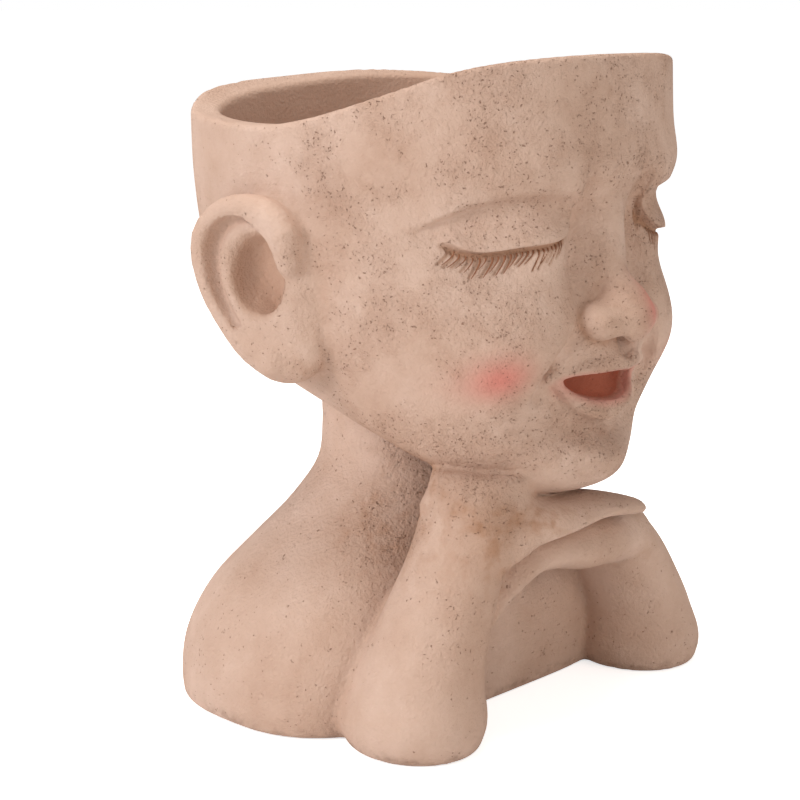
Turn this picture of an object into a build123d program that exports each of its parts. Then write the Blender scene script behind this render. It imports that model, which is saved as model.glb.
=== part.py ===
"""Head planter: a cast bust of a smiling, doll-like figure that rests its chin on its crossed hands.

The crown is cut open along a wavy rim, and the hollow head is the pot. It narrows into the neck,
where a floor with one drain hole carries a rubber plug. Below that floor the bust is an open shell.
The figure looks along -Y, its right side is at -X, and it stands on the plane z = 0.
Lengths are in millimetres. The name of a table of proportions ends in share or shares.
"""

from build123d import *
from math import cos, exp, pi, radians, sin
import os

# Casting
wall = 10.0
overrun = 5.0

# Head, from the chin at the bottom to the crown above the forehead
chin_height = 85.0
crown_height = 252.0
head_width = 160.0
head_middle = 7.5
head_reach = 87.0
head_height = 165.0
head_section_count = 24
head_point_count = 56
hollow_section_count = 10

# Rim of the crown, which dips behind the forehead
rim_dip = 27.0

# Underside of the head: a slanting face from under the chin up to the nape
jaw_start = -58.0
jaw_height = 87.0
jaw_slope = 23.0

# Face
socket_depth = 6.0
nose_tip = -94.0
nose_width = 30.0
nose_base_height = 146.0
nose_length = 44.0
nose_ball_radius = 10.5
nose_wing_radius = 6.5
nose_wing_inset = 13.0
nostril_radius = 2.6
mouth_width = 44.0
mouth_height = 132.0
mouth_opening = 13.0
mouth_depth = 9.0
lip_stand = 3.6
lip_edge = 4.0

# Ears
ear_height = 71.0
ear_base_height = 130.0
ear_width = 51.0
ear_root = -2.0
ear_stand = -1.0
ear_flare = 14.0
ear_plate = 8.0
ear_depth = 40.0
helix_radius = 4.5
concha_radius = 16.0
concha_lift = 10.0

# Bust
bust_height = 150.0
bust_width = 202.0
bust_middle = 20.0
bust_reach = 69.0
bust_point_count = 40
shell_section_count = 8
bust_section_count = 16
limb_section_count = 12
neck_middle = 23.0
neck_bore_radius = 27.0
neck_floor_height = 88.0
neck_floor_thickness = 9.0

# Forearms
right_elbow_spread = 65.5
left_elbow_spread = 69.0
elbow_radius = 25.0
wrist_forward = 48.0
right_forearm_height = 102.0
left_forearm_height = 70.0
limb_point_count = 24

# Hands, which lie one on the other under the chin
hand_span = 52.0
hand_forward = 70.0
hand_radius = 20.0
right_hand_height = 79.0
left_hand_height = 61.0

# Drain and its plug
drain_radius = 6.0
plug_clearance = 0.08
plug_flange_radius = 11.0
plug_flange_thickness = 3.0
plug_tail_length = 14.0
plug_tip_radius = 5.0
plug_knob_radius = 3.0
plug_knob_height = 6.0

# Rows of the head from the chin up: place up the head, half width, reach to the front, reach to the
# back, and where the row is widest, as shares of the head's height, half width and reach
head_shares = [
    (-0.042, 0.202, 0.590, -0.110, -0.360),
    (0.000, 0.375, 0.740, 0.086, -0.320),
    (0.040, 0.510, 0.856, 0.280, -0.250),
    (0.103, 0.626, 0.914, 0.454, -0.180),
    (0.176, 0.725, 0.937, 0.560, -0.100),
    (0.260, 0.825, 0.954, 0.660, -0.030),
    (0.345, 0.894, 0.971, 0.760, 0.030),
    (0.455, 0.945, 0.983, 0.870, 0.090),
    (0.576, 0.975, 0.989, 0.955, 0.130),
    (0.697, 0.990, 1.000, 0.994, 0.144),
    (0.848, 1.000, 1.006, 0.994, 0.144),
    (1.036, 0.990, 1.011, 0.989, 0.144),
]

# Soft relief of the face: place across and up, spread across and up, and rise, as shares of the
# head's half width and height and of the depth of the eye sockets
relief_shares = [
    (0.414, 0.715, 0.298, 0.040, 0.42),
    (-0.414, 0.715, 0.298, 0.040, 0.42),
    (0.414, 0.624, 0.212, 0.046, -1.00),
    (-0.414, 0.624, 0.212, 0.046, -1.00),
    (0.433, 0.588, 0.164, 0.036, 0.58),
    (-0.433, 0.588, 0.164, 0.036, 0.58),
    (0.500, 0.394, 0.250, 0.103, 0.83),
    (-0.500, 0.394, 0.250, 0.103, 0.83),
    (0.000, 0.079, 0.173, 0.055, 0.50),
    (0.000, 0.273, 0.279, 0.085, 0.67),
]

# Rim of the crown from front to back: place along the head's reach, and dip on the figure's right
# side and on its left side, as shares of the head's reach and of the deepest dip
rim_shares = [
    (-1.20, 0.04, 0.04),
    (-1.02, 0.06, 0.06),
    (-0.75, 0.22, 0.19),
    (-0.43, 0.61, 0.37),
    (-0.09, 0.93, 0.55),
    (0.11, 1.04, 0.66),
    (0.37, 1.04, 0.68),
    (0.60, 0.98, 0.58),
    (0.83, 0.86, 0.50),
    (1.01, 0.60, 0.42),
    (1.20, 0.44, 0.38),
]

# Nose from the brow down: place up the nose, half width, and reach from the face to the tip
nose_shares = [
    (1.00, 0.22, 0.02),
    (0.75, 0.33, 0.30),
    (0.50, 0.52, 0.66),
    (0.28, 0.86, 0.96),
    (0.12, 1.00, 0.97),
    (0.00, 0.80, 0.70),
]

# Lips from corner to corner: place across and up, half height, and how far they stand out, as shares
# of the mouth's half width, of its opening and of the lips' full stand
lip_shares = [
    (-1.08, 0.12, 0.08, -1.20),
    (-0.92, 0.02, 0.30, -0.20),
    (-0.62, -0.26, 0.64, 0.05),
    (-0.30, -0.40, 0.86, 0.20),
    (0.00, -0.46, 0.90, 0.15),
    (0.30, -0.40, 0.86, 0.20),
    (0.62, -0.26, 0.64, 0.05),
    (0.92, 0.02, 0.30, -0.20),
    (1.08, 0.12, 0.08, -1.20),
]

# Edge of an ear: place back from its root and place up it, as shares of its width and height
ear_edge_shares = [
    (-0.06, 0.78),
    (0.12, 0.93),
    (0.40, 1.00),
    (0.70, 0.97),
    (0.93, 0.83),
    (1.00, 0.65),
    (0.92, 0.44),
    (0.72, 0.24),
    (0.44, 0.09),
    (0.18, 0.00),
    (-0.02, 0.04),
    (-0.08, 0.20),
]

# Rolled edge of an ear, from above its hollow round to its lobe, in the same shares
helix_shares = [
    (0.30, 0.62),
    (0.04, 0.78),
    (0.16, 0.92),
    (0.42, 0.97),
    (0.70, 0.93),
    (0.91, 0.80),
    (0.95, 0.62),
    (0.86, 0.42),
    (0.64, 0.24),
    (0.40, 0.12),
]
ear_back_share = 0.9
ear_root_share = 0.5
concha_back_share = 0.42
concha_up_share = 0.48

# Rows of the bust from the base up: place up it, half width, reach to the front, reach to the back
# as shares of its height, half width and reach, and the roundness of the row
bust_shares = [
    (0.000, 1.000, 0.797, 0.928, 2.80),
    (0.053, 1.002, 0.812, 0.957, 2.80),
    (0.167, 0.965, 0.826, 0.957, 2.80),
    (0.300, 0.861, 0.797, 0.855, 2.60),
    (0.400, 0.708, 0.725, 0.710, 2.40),
    (0.493, 0.545, 0.638, 0.587, 2.20),
    (0.587, 0.421, 0.551, 0.514, 2.10),
    (0.680, 0.376, 0.493, 0.536, 2.05),
    (0.787, 0.366, 0.464, 0.565, 2.05),
    (1.000, 0.376, 0.464, 0.609, 2.05),
]

# Rows of each forearm from the elbow up: place up it, place out, place forward, half width, half
# depth, as shares of its height, elbow's place out, wrist's place forward and elbow's radius
right_forearm_shares = [
    (0.000, 1.000, 0.854, 0.88, 0.98),
    (0.069, 1.000, 0.854, 1.04, 1.10),
    (0.245, 0.965, 0.875, 0.93, 0.99),
    (0.490, 0.830, 0.917, 0.80, 0.84),
    (0.706, 0.690, 0.958, 0.72, 0.76),
    (0.882, 0.580, 0.970, 0.70, 0.74),
    (1.000, 0.520, 0.970, 0.70, 0.74),
]
left_forearm_shares = [
    (0.000, 1.000, 0.854, 0.88, 0.98),
    (0.100, 1.000, 0.854, 1.04, 1.08),
    (0.357, 0.945, 0.875, 0.92, 0.97),
    (0.643, 0.800, 0.917, 0.80, 0.84),
    (0.829, 0.670, 0.950, 0.72, 0.76),
    (1.000, 0.530, 0.980, 0.62, 0.64),
]

# Rows of each hand from its fingertips to its wrist: place across, place forward, place up from the
# hand's own level, half depth and half height, as shares of the hand's span, forward place and radius
right_hand_shares = [
    (-0.560, 1.000, 0.00, 0.22, 0.13),
    (-0.480, 0.970, 0.00, 0.42, 0.22),
    (-0.288, 0.880, 0.05, 0.68, 0.32),
    (0.096, 0.814, 0.00, 0.90, 0.38),
    (0.577, 0.743, -0.15, 1.00, 0.60),
    (0.750, 0.700, -0.20, 0.90, 0.68),
]
left_hand_shares = [
    (-0.850, 0.610, -1.15, 0.30, 0.90),
    (-0.750, 0.630, -1.10, 0.45, 1.15),
    (-0.600, 0.660, -0.75, 0.50, 0.95),
    (-0.450, 0.690, -0.20, 0.62, 0.52),
    (-0.288, 0.714, -0.02, 0.75, 0.42),
    (0.096, 0.743, 0.05, 0.85, 0.42),
    (0.577, 0.700, 0.05, 0.95, 0.50),
    (0.750, 0.680, 0.05, 0.90, 0.62),
]

# Roundness of the head's rows in front and behind
face_power = 2.4
nape_power = 3.1


def row_at(shares, place):
    """Row of shares at a place between the rows of a table, on a smooth curve through them."""
    step = max(index for index in range(len(shares) - 1) if shares[index][0] <= place or index == 0)
    low = shares[step]
    high = shares[step + 1]
    below = shares[max(step - 1, 0)]
    above = shares[min(step + 2, len(shares) - 1)]
    span = high[0] - low[0]
    part = (place - low[0]) / span
    row = []
    for start, near, far, end in zip(below, low, high, above):
        near_slope = (far - start) / (high[0] - below[0]) * span
        far_slope = (end - near) / (above[0] - low[0]) * span
        near_weight = (1 + 2 * part) * (1 - part) ** 2
        far_weight = part**2 * (3 - 2 * part)
        near_bend = part * (1 - part) ** 2 * near_slope
        far_bend = part**2 * (part - 1) * far_slope
        row.append(near * near_weight + far * far_weight + near_bend + far_bend)
    return row


def rows_between(shares, count):
    """Evenly spaced rows of shares, from one end of a table to the other."""
    start = shares[0][0]
    gap = (shares[-1][0] - start) / (count - 1)
    return [row_at(shares, start + index * gap) for index in range(count)]


def face_relief(across, height):
    """How far the face stands proud of its plain form at a place across and up the head."""
    rise = 0
    for place, up, spread, tall, share in relief_shares:
        side = (across - place * head_width / 2) / (spread * head_width / 2)
        level = (height - chin_height - up * head_height) / (tall * head_height)
        rise += share * socket_depth * exp(-(side**2 + level**2) / 2)
    return rise


def head_row(height):
    """Half width, front, back and widest place of the head at a height."""
    row = row_at(head_shares, (height - chin_height) / head_height)
    half_width = row[1] * head_width / 2
    front = head_middle - row[2] * head_reach
    back = head_middle + row[3] * head_reach
    middle = head_middle + row[4] * head_reach
    return half_width, front, back, middle


def bust_row(place):
    """Half width, front, back and roundness of the bust at a place up it."""
    row = row_at(bust_shares, place)
    half_width = row[1] * bust_width / 2
    return half_width, bust_middle - row[2] * bust_reach, bust_middle + row[3] * bust_reach, row[4]


def face_front(across, height):
    """Place of the face's surface along Y, at a place across and up the head."""
    half_width, front, back, middle = head_row(height)
    side = min(abs(across) / half_width, 1) ** (face_power / 2)
    depth = (1 - side**2) ** (1 / face_power)
    return middle + (front - middle) * depth - face_relief(across, height)


def ring_points(half_width, front, back, middle, front_power, back_power, count):
    """Points of a closed row that is rounded like an ellipse, with its own reach to front and back."""
    points = []
    for index in range(count):
        turn = pi / 2 + 2 * pi * index / count
        side = cos(turn)
        depth = sin(turn)
        power = front_power if depth < 0 else back_power
        across = half_width * abs(side) ** (2 / power) * (1 if side > 0 else -1)
        reach = (middle - front) if depth < 0 else (back - middle)
        along = middle + reach * abs(depth) ** (2 / power) * (1 if depth > 0 else -1)
        points.append((across, along))
    return points


def draw_ring(points):
    """Draw a face inside one smooth closed curve, on the sketch in hand."""
    places = [index / len(points) for index in range(len(points) + 1)]
    corners = [Vector(*point) for point in points]
    make_face(Edge.make_spline(corners, periodic=True, parameters=places))


def draw_oval(across, along, half_width, half_depth):
    """Draw an oval row, on the sketch in hand, with its seam at the front."""
    turns = [2 * pi * index / limb_point_count - pi / 2 for index in range(limb_point_count)]
    draw_ring([(across + half_width * cos(turn), along + half_depth * sin(turn)) for turn in turns])


jaw_plane = Plane(
    origin=(0, jaw_start, jaw_height),
    x_dir=(1, 0, 0),
    z_dir=(0, -sin(radians(jaw_slope)), cos(radians(jaw_slope))),
)
pot_floor_plane = jaw_plane.offset(wall)
head_bottom = chin_height + head_shares[0][0] * head_height
head_top = chin_height + head_shares[-1][0] * head_height
section_gap = (head_top - head_bottom) / (head_section_count - 1)
section_heights = [head_bottom + index * section_gap for index in range(head_section_count)]

# The head's outer form, with its face, before it is hollowed
with BuildPart() as head_form:
    for height in section_heights:
        half_width, front, back, middle = head_row(height)
        ring = ring_points(half_width, front, back, middle, face_power, nape_power, head_point_count)
        with BuildSketch(Plane.XY.offset(height)):
            draw_ring([(x, y - face_relief(x, height)) if y < middle else (x, y) for x, y in ring])
    loft(ruled=True)
    split(bisect_by=jaw_plane, keep=Keep.TOP)

# Block that cuts the crown open along its wavy rim
with BuildPart() as crown_cut:
    for side, column in ((-1, 1), (1, 2)):
        rim = [
            (head_middle + row[0] * head_reach, crown_height - row[column] * rim_dip)
            for row in rim_shares
        ]
        with BuildSketch(Plane.YZ.offset(side * (head_width / 2 + overrun))):
            with BuildLine():
                Spline(*rim)
                Polyline(rim[-1], (rim[-1][0], head_top + wall), (rim[0][0], head_top + wall), rim[0])
            make_face()
    loft(ruled=True)

# Hollow that holds the plant: the head inside its wall, and the bore of the neck below it
hollow_bottom = chin_height + wall
hollow_gap = (head_top - hollow_bottom) / (hollow_section_count - 1)
with BuildPart() as pot_hollow:
    for index in range(hollow_section_count):
        height = hollow_bottom + index * hollow_gap
        half_width, front, back, middle = head_row(height)
        inside = (half_width - wall, front + wall, back - wall, middle)
        with BuildSketch(Plane.XY.offset(height)):
            draw_ring(ring_points(*inside, face_power, nape_power, bust_point_count))
    loft(ruled=True)
    split(bisect_by=pot_floor_plane, keep=Keep.TOP)
    with BuildSketch(Plane.XY.offset(neck_floor_height)):
        with Locations((0, neck_middle)):
            Circle(neck_bore_radius)
    extrude(amount=bust_height - neck_floor_height)

# Head bowl
with BuildPart() as head_bowl:
    add(head_form.part)
    # Nose
    for place, width_share, reach_share in nose_shares:
        height = nose_base_height + place * nose_length
        root = face_front(0, height)
        reach = wall / 2 + reach_share * (root - nose_tip)
        with BuildSketch(Plane.XY.offset(height)):
            draw_oval(0, root + wall / 2, width_share * nose_width / 2, reach)
    loft()
    with Locations((0, nose_tip + nose_ball_radius, nose_base_height + nose_ball_radius)):
        Sphere(nose_ball_radius)
    for side in (-1, 1):
        across = side * (nose_width / 2 - nose_wing_radius / 2)
        with Locations((across, nose_tip + nose_wing_inset, nose_base_height + nose_wing_radius)):
            Sphere(nose_wing_radius)
        with Locations((side * nose_width / 4, nose_tip + nose_wing_inset, nose_base_height)):
            Sphere(nostril_radius, mode=Mode.SUBTRACT)
    # Lips, as one full form that follows the face from corner to corner
    for across_share, up_share, tall_share, stand_share in lip_shares:
        across = across_share * mouth_width / 2
        height = mouth_height + up_share * mouth_opening
        heart = (face_front(across, height) - stand_share * lip_stand, height)
        with BuildSketch(Plane.YZ.offset(across)):
            draw_oval(*heart, lip_stand, tall_share * mouth_opening)
    loft()
    # Mouth, which opens between the lips
    mouth_corner = (mouth_width / 2 - lip_edge, mouth_height - lip_edge / 2)
    with BuildSketch(Plane.XZ.offset(lip_stand + overrun - face_front(0, mouth_height))):
        with BuildLine():
            ThreePointArc((-mouth_corner[0], mouth_corner[1]), (0, mouth_height - lip_edge), mouth_corner)
            ThreePointArc(
                mouth_corner, (0, mouth_height - mouth_opening), (-mouth_corner[0], mouth_corner[1])
            )
        make_face()
    extrude(amount=-mouth_depth - overrun, mode=Mode.SUBTRACT)
    # Hollow and rim
    add(pot_hollow.part, mode=Mode.SUBTRACT)
    add(crown_cut.part, mode=Mode.SUBTRACT)

# The bust's outer form, from the base to the jaw
with BuildPart() as bust_form:
    for index in range(bust_section_count):
        place = index / (bust_section_count - 1)
        half_width, front, back, power = bust_row(place)
        with BuildSketch(Plane.XY.offset(place * bust_height)):
            draw_ring(ring_points(half_width, front, back, bust_middle, power, power, bust_point_count))
    loft(ruled=True)
    split(bisect_by=jaw_plane, keep=Keep.BOTTOM)

# Bust: the open shell of the shoulders, the floor of the neck, and the bore above it
shell_top = neck_floor_height - neck_floor_thickness
shell_gap = shell_top / (shell_section_count - 1)
with BuildPart() as bust:
    add(bust_form.part)
    add(pot_hollow.part, mode=Mode.SUBTRACT)
    for index in range(shell_section_count):
        height = index * shell_gap
        half_width, front, back, power = bust_row((height + wall / 2) / bust_height)
        inside = (half_width - wall, front + wall, back - wall, bust_middle)
        with BuildSketch(Plane.XY.offset(height)):
            draw_ring(ring_points(*inside, power, power, bust_point_count))
    loft(ruled=True, mode=Mode.SUBTRACT)
    with Locations((0, neck_middle, neck_floor_height - neck_floor_thickness / 2)):
        Cylinder(drain_radius, neck_floor_thickness + 2 * overrun, mode=Mode.SUBTRACT)

# Forearms, which stand on their elbows
with BuildPart() as right_forearm:
    for place, out, forward, width, depth in rows_between(right_forearm_shares, limb_section_count):
        with BuildSketch(Plane.XY.offset(place * right_forearm_height)):
            heart = (-out * right_elbow_spread, -forward * wrist_forward)
            draw_oval(*heart, width * elbow_radius, depth * elbow_radius)
    loft(ruled=True)
    add(bust_form.part, mode=Mode.SUBTRACT)
    add(head_form.part, mode=Mode.SUBTRACT)

with BuildPart() as left_forearm:
    for place, out, forward, width, depth in rows_between(left_forearm_shares, limb_section_count):
        with BuildSketch(Plane.XY.offset(place * left_forearm_height)):
            heart = (out * left_elbow_spread, -forward * wrist_forward)
            draw_oval(*heart, width * elbow_radius, depth * elbow_radius)
    loft(ruled=True)
    add(bust_form.part, mode=Mode.SUBTRACT)
    add(head_form.part, mode=Mode.SUBTRACT)

# Hands, the right one lying on the left one
with BuildPart() as right_hand:
    for across, forward, up, depth, tall in rows_between(right_hand_shares, limb_section_count):
        with BuildSketch(Plane.YZ.offset(-across * hand_span)):
            heart = (-forward * hand_forward, right_hand_height + up * hand_radius)
            draw_oval(*heart, depth * hand_radius, tall * hand_radius)
    loft(ruled=True)
    for neighbour in (bust_form, head_form, right_forearm, left_forearm):
        add(neighbour.part, mode=Mode.SUBTRACT)

with BuildPart() as left_hand:
    for across, forward, up, depth, tall in rows_between(left_hand_shares, limb_section_count):
        with BuildSketch(Plane.YZ.offset(across * hand_span)):
            heart = (-forward * hand_forward, left_hand_height + up * hand_radius)
            draw_oval(*heart, depth * hand_radius, tall * hand_radius)
    loft(ruled=True)
    for neighbour in (bust_form, head_form, right_forearm, left_forearm, right_hand):
        add(neighbour.part, mode=Mode.SUBTRACT)

# Ears
ears = []
for side, name in ((-1, "right_ear"), (1, "left_ear")):
    ear_plane = Plane(
        origin=(side * (head_width / 2 + ear_stand), ear_root, ear_base_height),
        x_dir=(sin(radians(ear_flare)), side * cos(radians(ear_flare)), 0),
        z_dir=(side * cos(radians(ear_flare)), -sin(radians(ear_flare)), 0),
    )
    edge = [(side * back * ear_width, up * ear_height) for back, up in ear_edge_shares]
    with BuildPart() as ear:
        # Plate of the ear
        with BuildSketch(ear_plane):
            make_face(Edge.make_spline([Vector(*point) for point in edge], periodic=True))
        extrude(amount=-ear_plate)
        # Root, which narrows from the plate to the side of the head
        for depth, share in ((ear_plate / 2, ear_back_share), (ear_depth, ear_root_share)):
            low = (1 - share) * ear_height / 2
            root = [Vector(x * share, y * share + low) for x, y in edge]
            with BuildSketch(ear_plane.offset(-depth)):
                make_face(Edge.make_spline(root, periodic=True))
        loft()
        # Rolled edge
        with BuildLine(ear_plane):
            roll = Spline(*[(side * back * ear_width, up * ear_height) for back, up in helix_shares])
        with BuildSketch(Plane(origin=roll @ 0, z_dir=roll % 0)):
            Circle(helix_radius)
        sweep(path=roll)
        # Hollow of the ear
        with Locations(ear_plane.offset(concha_lift)):
            with Locations((side * concha_back_share * ear_width, concha_up_share * ear_height)):
                Sphere(concha_radius, mode=Mode.SUBTRACT)
        add(head_form.part, mode=Mode.SUBTRACT)
    ear.part.label = name
    ears.append(ear.part)

# Plug of the drain hole
with BuildPart() as drain_plug:
    with BuildSketch(Plane.XZ.offset(-neck_middle)):
        with BuildLine():
            Polyline(
                (0, neck_floor_height - plug_tail_length),
                (plug_tip_radius, neck_floor_height - plug_tail_length),
                (drain_radius - plug_clearance, neck_floor_height),
                (plug_flange_radius, neck_floor_height),
                (plug_flange_radius, neck_floor_height + plug_flange_thickness),
                (plug_knob_radius, neck_floor_height + plug_flange_thickness),
                (plug_knob_radius, neck_floor_height + plug_flange_thickness + plug_knob_height),
                (0, neck_floor_height + plug_flange_thickness + plug_knob_height),
                close=True,
            )
        make_face()
    revolve(axis=Axis((0, neck_middle, 0), (0, 0, 1)))

os.makedirs("parts", exist_ok=True)
head_bowl.part.label = "head_bowl"
bust.part.label = "bust"
right_hand.part.label = "right_hand"
left_hand.part.label = "left_hand"
right_forearm.part.label = "right_forearm"
left_forearm.part.label = "left_forearm"
drain_plug.part.label = "drain_plug"
for piece in (head_bowl, bust, right_hand, left_hand, right_forearm, left_forearm, drain_plug):
    export_step(piece.part, "parts/" + piece.part.label + ".step")
for piece in ears:
    export_step(piece, "parts/" + piece.label + ".step")
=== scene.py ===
"""Head planter: the cast bust of a smiling, doll-like figure with its chin on its crossed hands.

Every member is described as a form in space, in millimetres, and one clay skin is drawn over them all.
The skin is then parted again into the members, which meet face to face. The figure looks along -Y.
"""

import math

import bmesh
import bpy
import numpy as np
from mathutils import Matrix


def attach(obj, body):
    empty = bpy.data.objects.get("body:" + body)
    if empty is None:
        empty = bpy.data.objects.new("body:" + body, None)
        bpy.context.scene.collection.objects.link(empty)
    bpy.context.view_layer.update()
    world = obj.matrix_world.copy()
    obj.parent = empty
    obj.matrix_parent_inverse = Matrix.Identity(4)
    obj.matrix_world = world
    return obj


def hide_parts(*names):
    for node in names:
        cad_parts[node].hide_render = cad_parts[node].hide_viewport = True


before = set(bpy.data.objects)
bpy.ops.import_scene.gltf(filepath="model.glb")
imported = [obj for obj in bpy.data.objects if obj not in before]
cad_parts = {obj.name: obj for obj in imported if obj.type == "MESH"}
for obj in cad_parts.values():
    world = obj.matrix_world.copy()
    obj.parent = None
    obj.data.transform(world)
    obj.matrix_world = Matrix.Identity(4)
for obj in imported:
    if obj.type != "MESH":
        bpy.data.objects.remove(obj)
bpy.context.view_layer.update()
MM = 0.001
WALL = 10.0

# Bust: the shoulders and the neck, a hollow shell of clay that is open below.
# It is cast 10 mm thick and carries the head on its neck.
# Rows of the bust: height, half width, front, back and roundness
BUST_ROWS = (
    (-8.0, 101.0, -35.0, 84.0, 2.8),
    (0.0, 101.0, -35.0, 84.0, 2.8),
    (8.0, 101.2, -36.0, 86.0, 2.8),
    (25.0, 97.5, -37.0, 86.0, 2.8),
    (45.0, 87.0, -35.0, 79.0, 2.6),
    (60.0, 71.5, -30.0, 69.0, 2.4),
    (74.0, 55.0, -24.0, 60.5, 2.2),
    (88.0, 42.5, -18.0, 55.5, 2.1),
    (102.0, 38.0, -14.0, 57.0, 2.05),
    (118.0, 37.0, -12.0, 59.0, 2.05),
    (150.0, 38.0, -12.0, 62.0, 2.05),
    (262.0, 38.0, -12.0, 62.0, 2.05),
)
BUST_MIDDLE = 20.0
NECK_MIDDLE = 23.0


def smooth_columns(rows, places, steps=900):
    """Columns of a table of rows at given places, on a smooth curve through the rows."""
    table = np.array(rows, float)
    keys = table[:, 0]
    slopes = np.gradient(table[:, 1:], keys, axis=0)
    dense = np.linspace(keys[0], keys[-1], steps)
    index = np.clip(np.searchsorted(keys, dense) - 1, 0, len(keys) - 2)
    span = keys[index + 1] - keys[index]
    part = ((dense - keys[index]) / span)[:, None]
    low, high = table[index, 1:], table[index + 1, 1:]
    span = span[:, None]
    curve = (
        low * (1 + 2 * part) * (1 - part) ** 2
        + high * part**2 * (3 - 2 * part)
        + span * slopes[index] * part * (1 - part) ** 2
        + span * slopes[index + 1] * part**2 * (part - 1)
    )
    return [np.interp(places, dense, curve[:, column]) for column in range(curve.shape[1])]


def soft_step(value):
    """0 below 0 and 1 above 1, with a smooth rise between."""
    share = np.clip(value, 0, 1)
    return share**2 * (3 - 2 * share)


def bell(value, middle, spread):
    """1 at the middle, fading smoothly to 0 on both sides of it."""
    return np.exp(-(((value - middle) / spread) ** 2))


def join(first, second, reach):
    """Two forms joined, with a fillet of that reach between them."""
    near = np.maximum(reach - np.abs(first - second), 0) / reach
    return np.minimum(first, second) - near**2 * reach / 4


def keep_inside(first, second, reach):
    """What lies in both forms, with its edge rounded over that reach."""
    return -join(-first, -second, reach)


def cut_away(form, tool, reach):
    """A form with the tool cut out of it, with its edge rounded over that reach."""
    return keep_inside(form, -tool, reach)


def rounded_ring(x, y, half, front, back, middle, power):
    """How far a place lies outside a rounded row with its own reach to the front and to the back."""
    # A row that has closed up keeps this much width and reach to be measured by
    least = 1.0
    half = np.maximum(half, least)
    reach = np.maximum(np.where(y < middle, middle - front, back - middle), least)
    ring = (np.abs(x / half) ** power + np.abs((y - middle) / reach) ** power) ** (1 / power)
    return (ring - 1) * np.minimum(half, reach)


def bust_form(x, y, z):
    """The solid bust, before its shell is hollowed."""
    half, front, back, power = smooth_columns(BUST_ROWS, z)
    return rounded_ring(x, y, half, front, back, BUST_MIDDLE, power)


def shell_hollow(x, y, z):
    """The open space under the shoulders, below the floor of the neck."""
    half, front, back, power = smooth_columns(BUST_ROWS, z + WALL / 2)
    inner = rounded_ring(x, y, half - WALL, front + WALL, back - WALL, BUST_MIDDLE, power)
    floor_height = 79.0
    floor_rounding = 6.0
    return keep_inside(inner, z - floor_height, floor_rounding)


def drain_hole(x, y):
    """The drain in the floor of the neck."""
    drain_radius = 6.0
    return np.hypot(x, y - NECK_MIDDLE) - drain_radius


# Forearms: each stands on its elbow and leans in to its wrist, modelled solid and luted to the bust.
# Rows of a forearm: height, place across, place along, half width and half depth.
RIGHT_FOREARM_ROWS = (
    (-8.0, -65.5, -41.0, 22.0, 24.5),
    (0.0, -65.5, -41.0, 23.0, 25.5),
    (7.0, -65.5, -41.0, 26.0, 27.5),
    (25.0, -63.2, -42.0, 23.3, 24.8),
    (50.0, -54.4, -44.0, 20.0, 21.0),
    (72.0, -45.2, -46.0, 18.0, 19.0),
    (88.0, -38.8, -46.6, 17.5, 18.5),
    (99.0, -34.5, -46.6, 17.5, 18.5),
    (120.0, -27.0, -46.6, 17.5, 18.5),
)
LEFT_FOREARM_ROWS = (
    (-8.0, 69.0, -41.0, 22.0, 24.5),
    (0.0, 69.0, -41.0, 23.0, 25.5),
    (7.0, 69.0, -41.0, 26.0, 27.0),
    (25.0, 65.2, -42.0, 23.0, 24.2),
    (45.0, 55.2, -44.0, 20.0, 21.0),
    (58.0, 46.2, -45.6, 18.0, 19.0),
    (70.0, 36.6, -47.0, 15.5, 16.0),
    (90.0, 24.0, -47.0, 14.0, 15.0),
)
RIGHT_WRIST_HEIGHT = 100.0
LEFT_WRIST_HEIGHT = 70.0
WRIST_ROUNDING = 3.5


def limb_form(x, y, z, rows, top):
    """A limb with oval rows, rounded off at its top."""
    across, along, half_width, half_depth = smooth_columns(rows, z)
    ring = np.sqrt(((x - across) / half_width) ** 2 + ((y - along) / half_depth) ** 2)
    return keep_inside((ring - 1) * np.minimum(half_width, half_depth), z - top, WRIST_ROUNDING)


def right_forearm_form(x, y, z):
    """The right forearm, up to its wrist."""
    return limb_form(x, y, z, RIGHT_FOREARM_ROWS, RIGHT_WRIST_HEIGHT)


def left_forearm_form(x, y, z):
    """The left forearm, which is shorter because its hand lies lower."""
    return limb_form(x, y, z, LEFT_FOREARM_ROWS, LEFT_WRIST_HEIGHT)


# Hands: two flat mitten-like hands under the chin, the right one on the left one.
# They are pressed from slabs of clay and luted to the wrists, and their fingers aren't parted.
# Rows of a hand: place across, place along, height of its edge, half depth, and reach up and down.
RIGHT_HAND_ROWS = (
    (-52.0, -47.0, 72.0, 16.0, 20.0, 8.0),
    (-39.0, -49.0, 70.0, 19.0, 20.0, 6.0),
    (-30.0, -52.0, 75.2, 20.0, 14.5, 4.8),
    (-20.0, -55.0, 77.8, 20.0, 11.0, 4.2),
    (-8.0, -57.5, 79.2, 18.5, 8.2, 3.8),
    (5.0, -60.0, 79.8, 16.5, 6.8, 3.5),
    (15.0, -63.0, 79.2, 13.5, 5.6, 3.3),
    (23.0, -66.5, 78.2, 9.5, 4.4, 3.0),
    (31.0, -70.0, 77.0, 4.5, 2.6, 2.4),
)
LEFT_HAND_ROWS = (
    (-46.0, -43.0, 38.0, 6.0, 14.0, 14.0),
    (-39.0, -46.0, 46.0, 9.0, 14.0, 14.0),
    (-31.0, -49.5, 57.0, 12.5, 12.0, 10.0),
    (-23.0, -51.5, 64.0, 15.5, 10.0, 7.0),
    (-12.0, -53.0, 66.0, 17.5, 9.6, 7.6),
    (5.0, -53.0, 64.0, 18.0, 12.0, 9.6),
    (30.0, -50.0, 62.5, 18.0, 12.0, 12.0),
    (39.0, -48.5, 61.0, 17.5, 13.0, 13.0),
    (50.0, -46.0, 57.0, 16.5, 14.0, 14.0),
)
HAND_END_ROUNDING = 4.0


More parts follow.
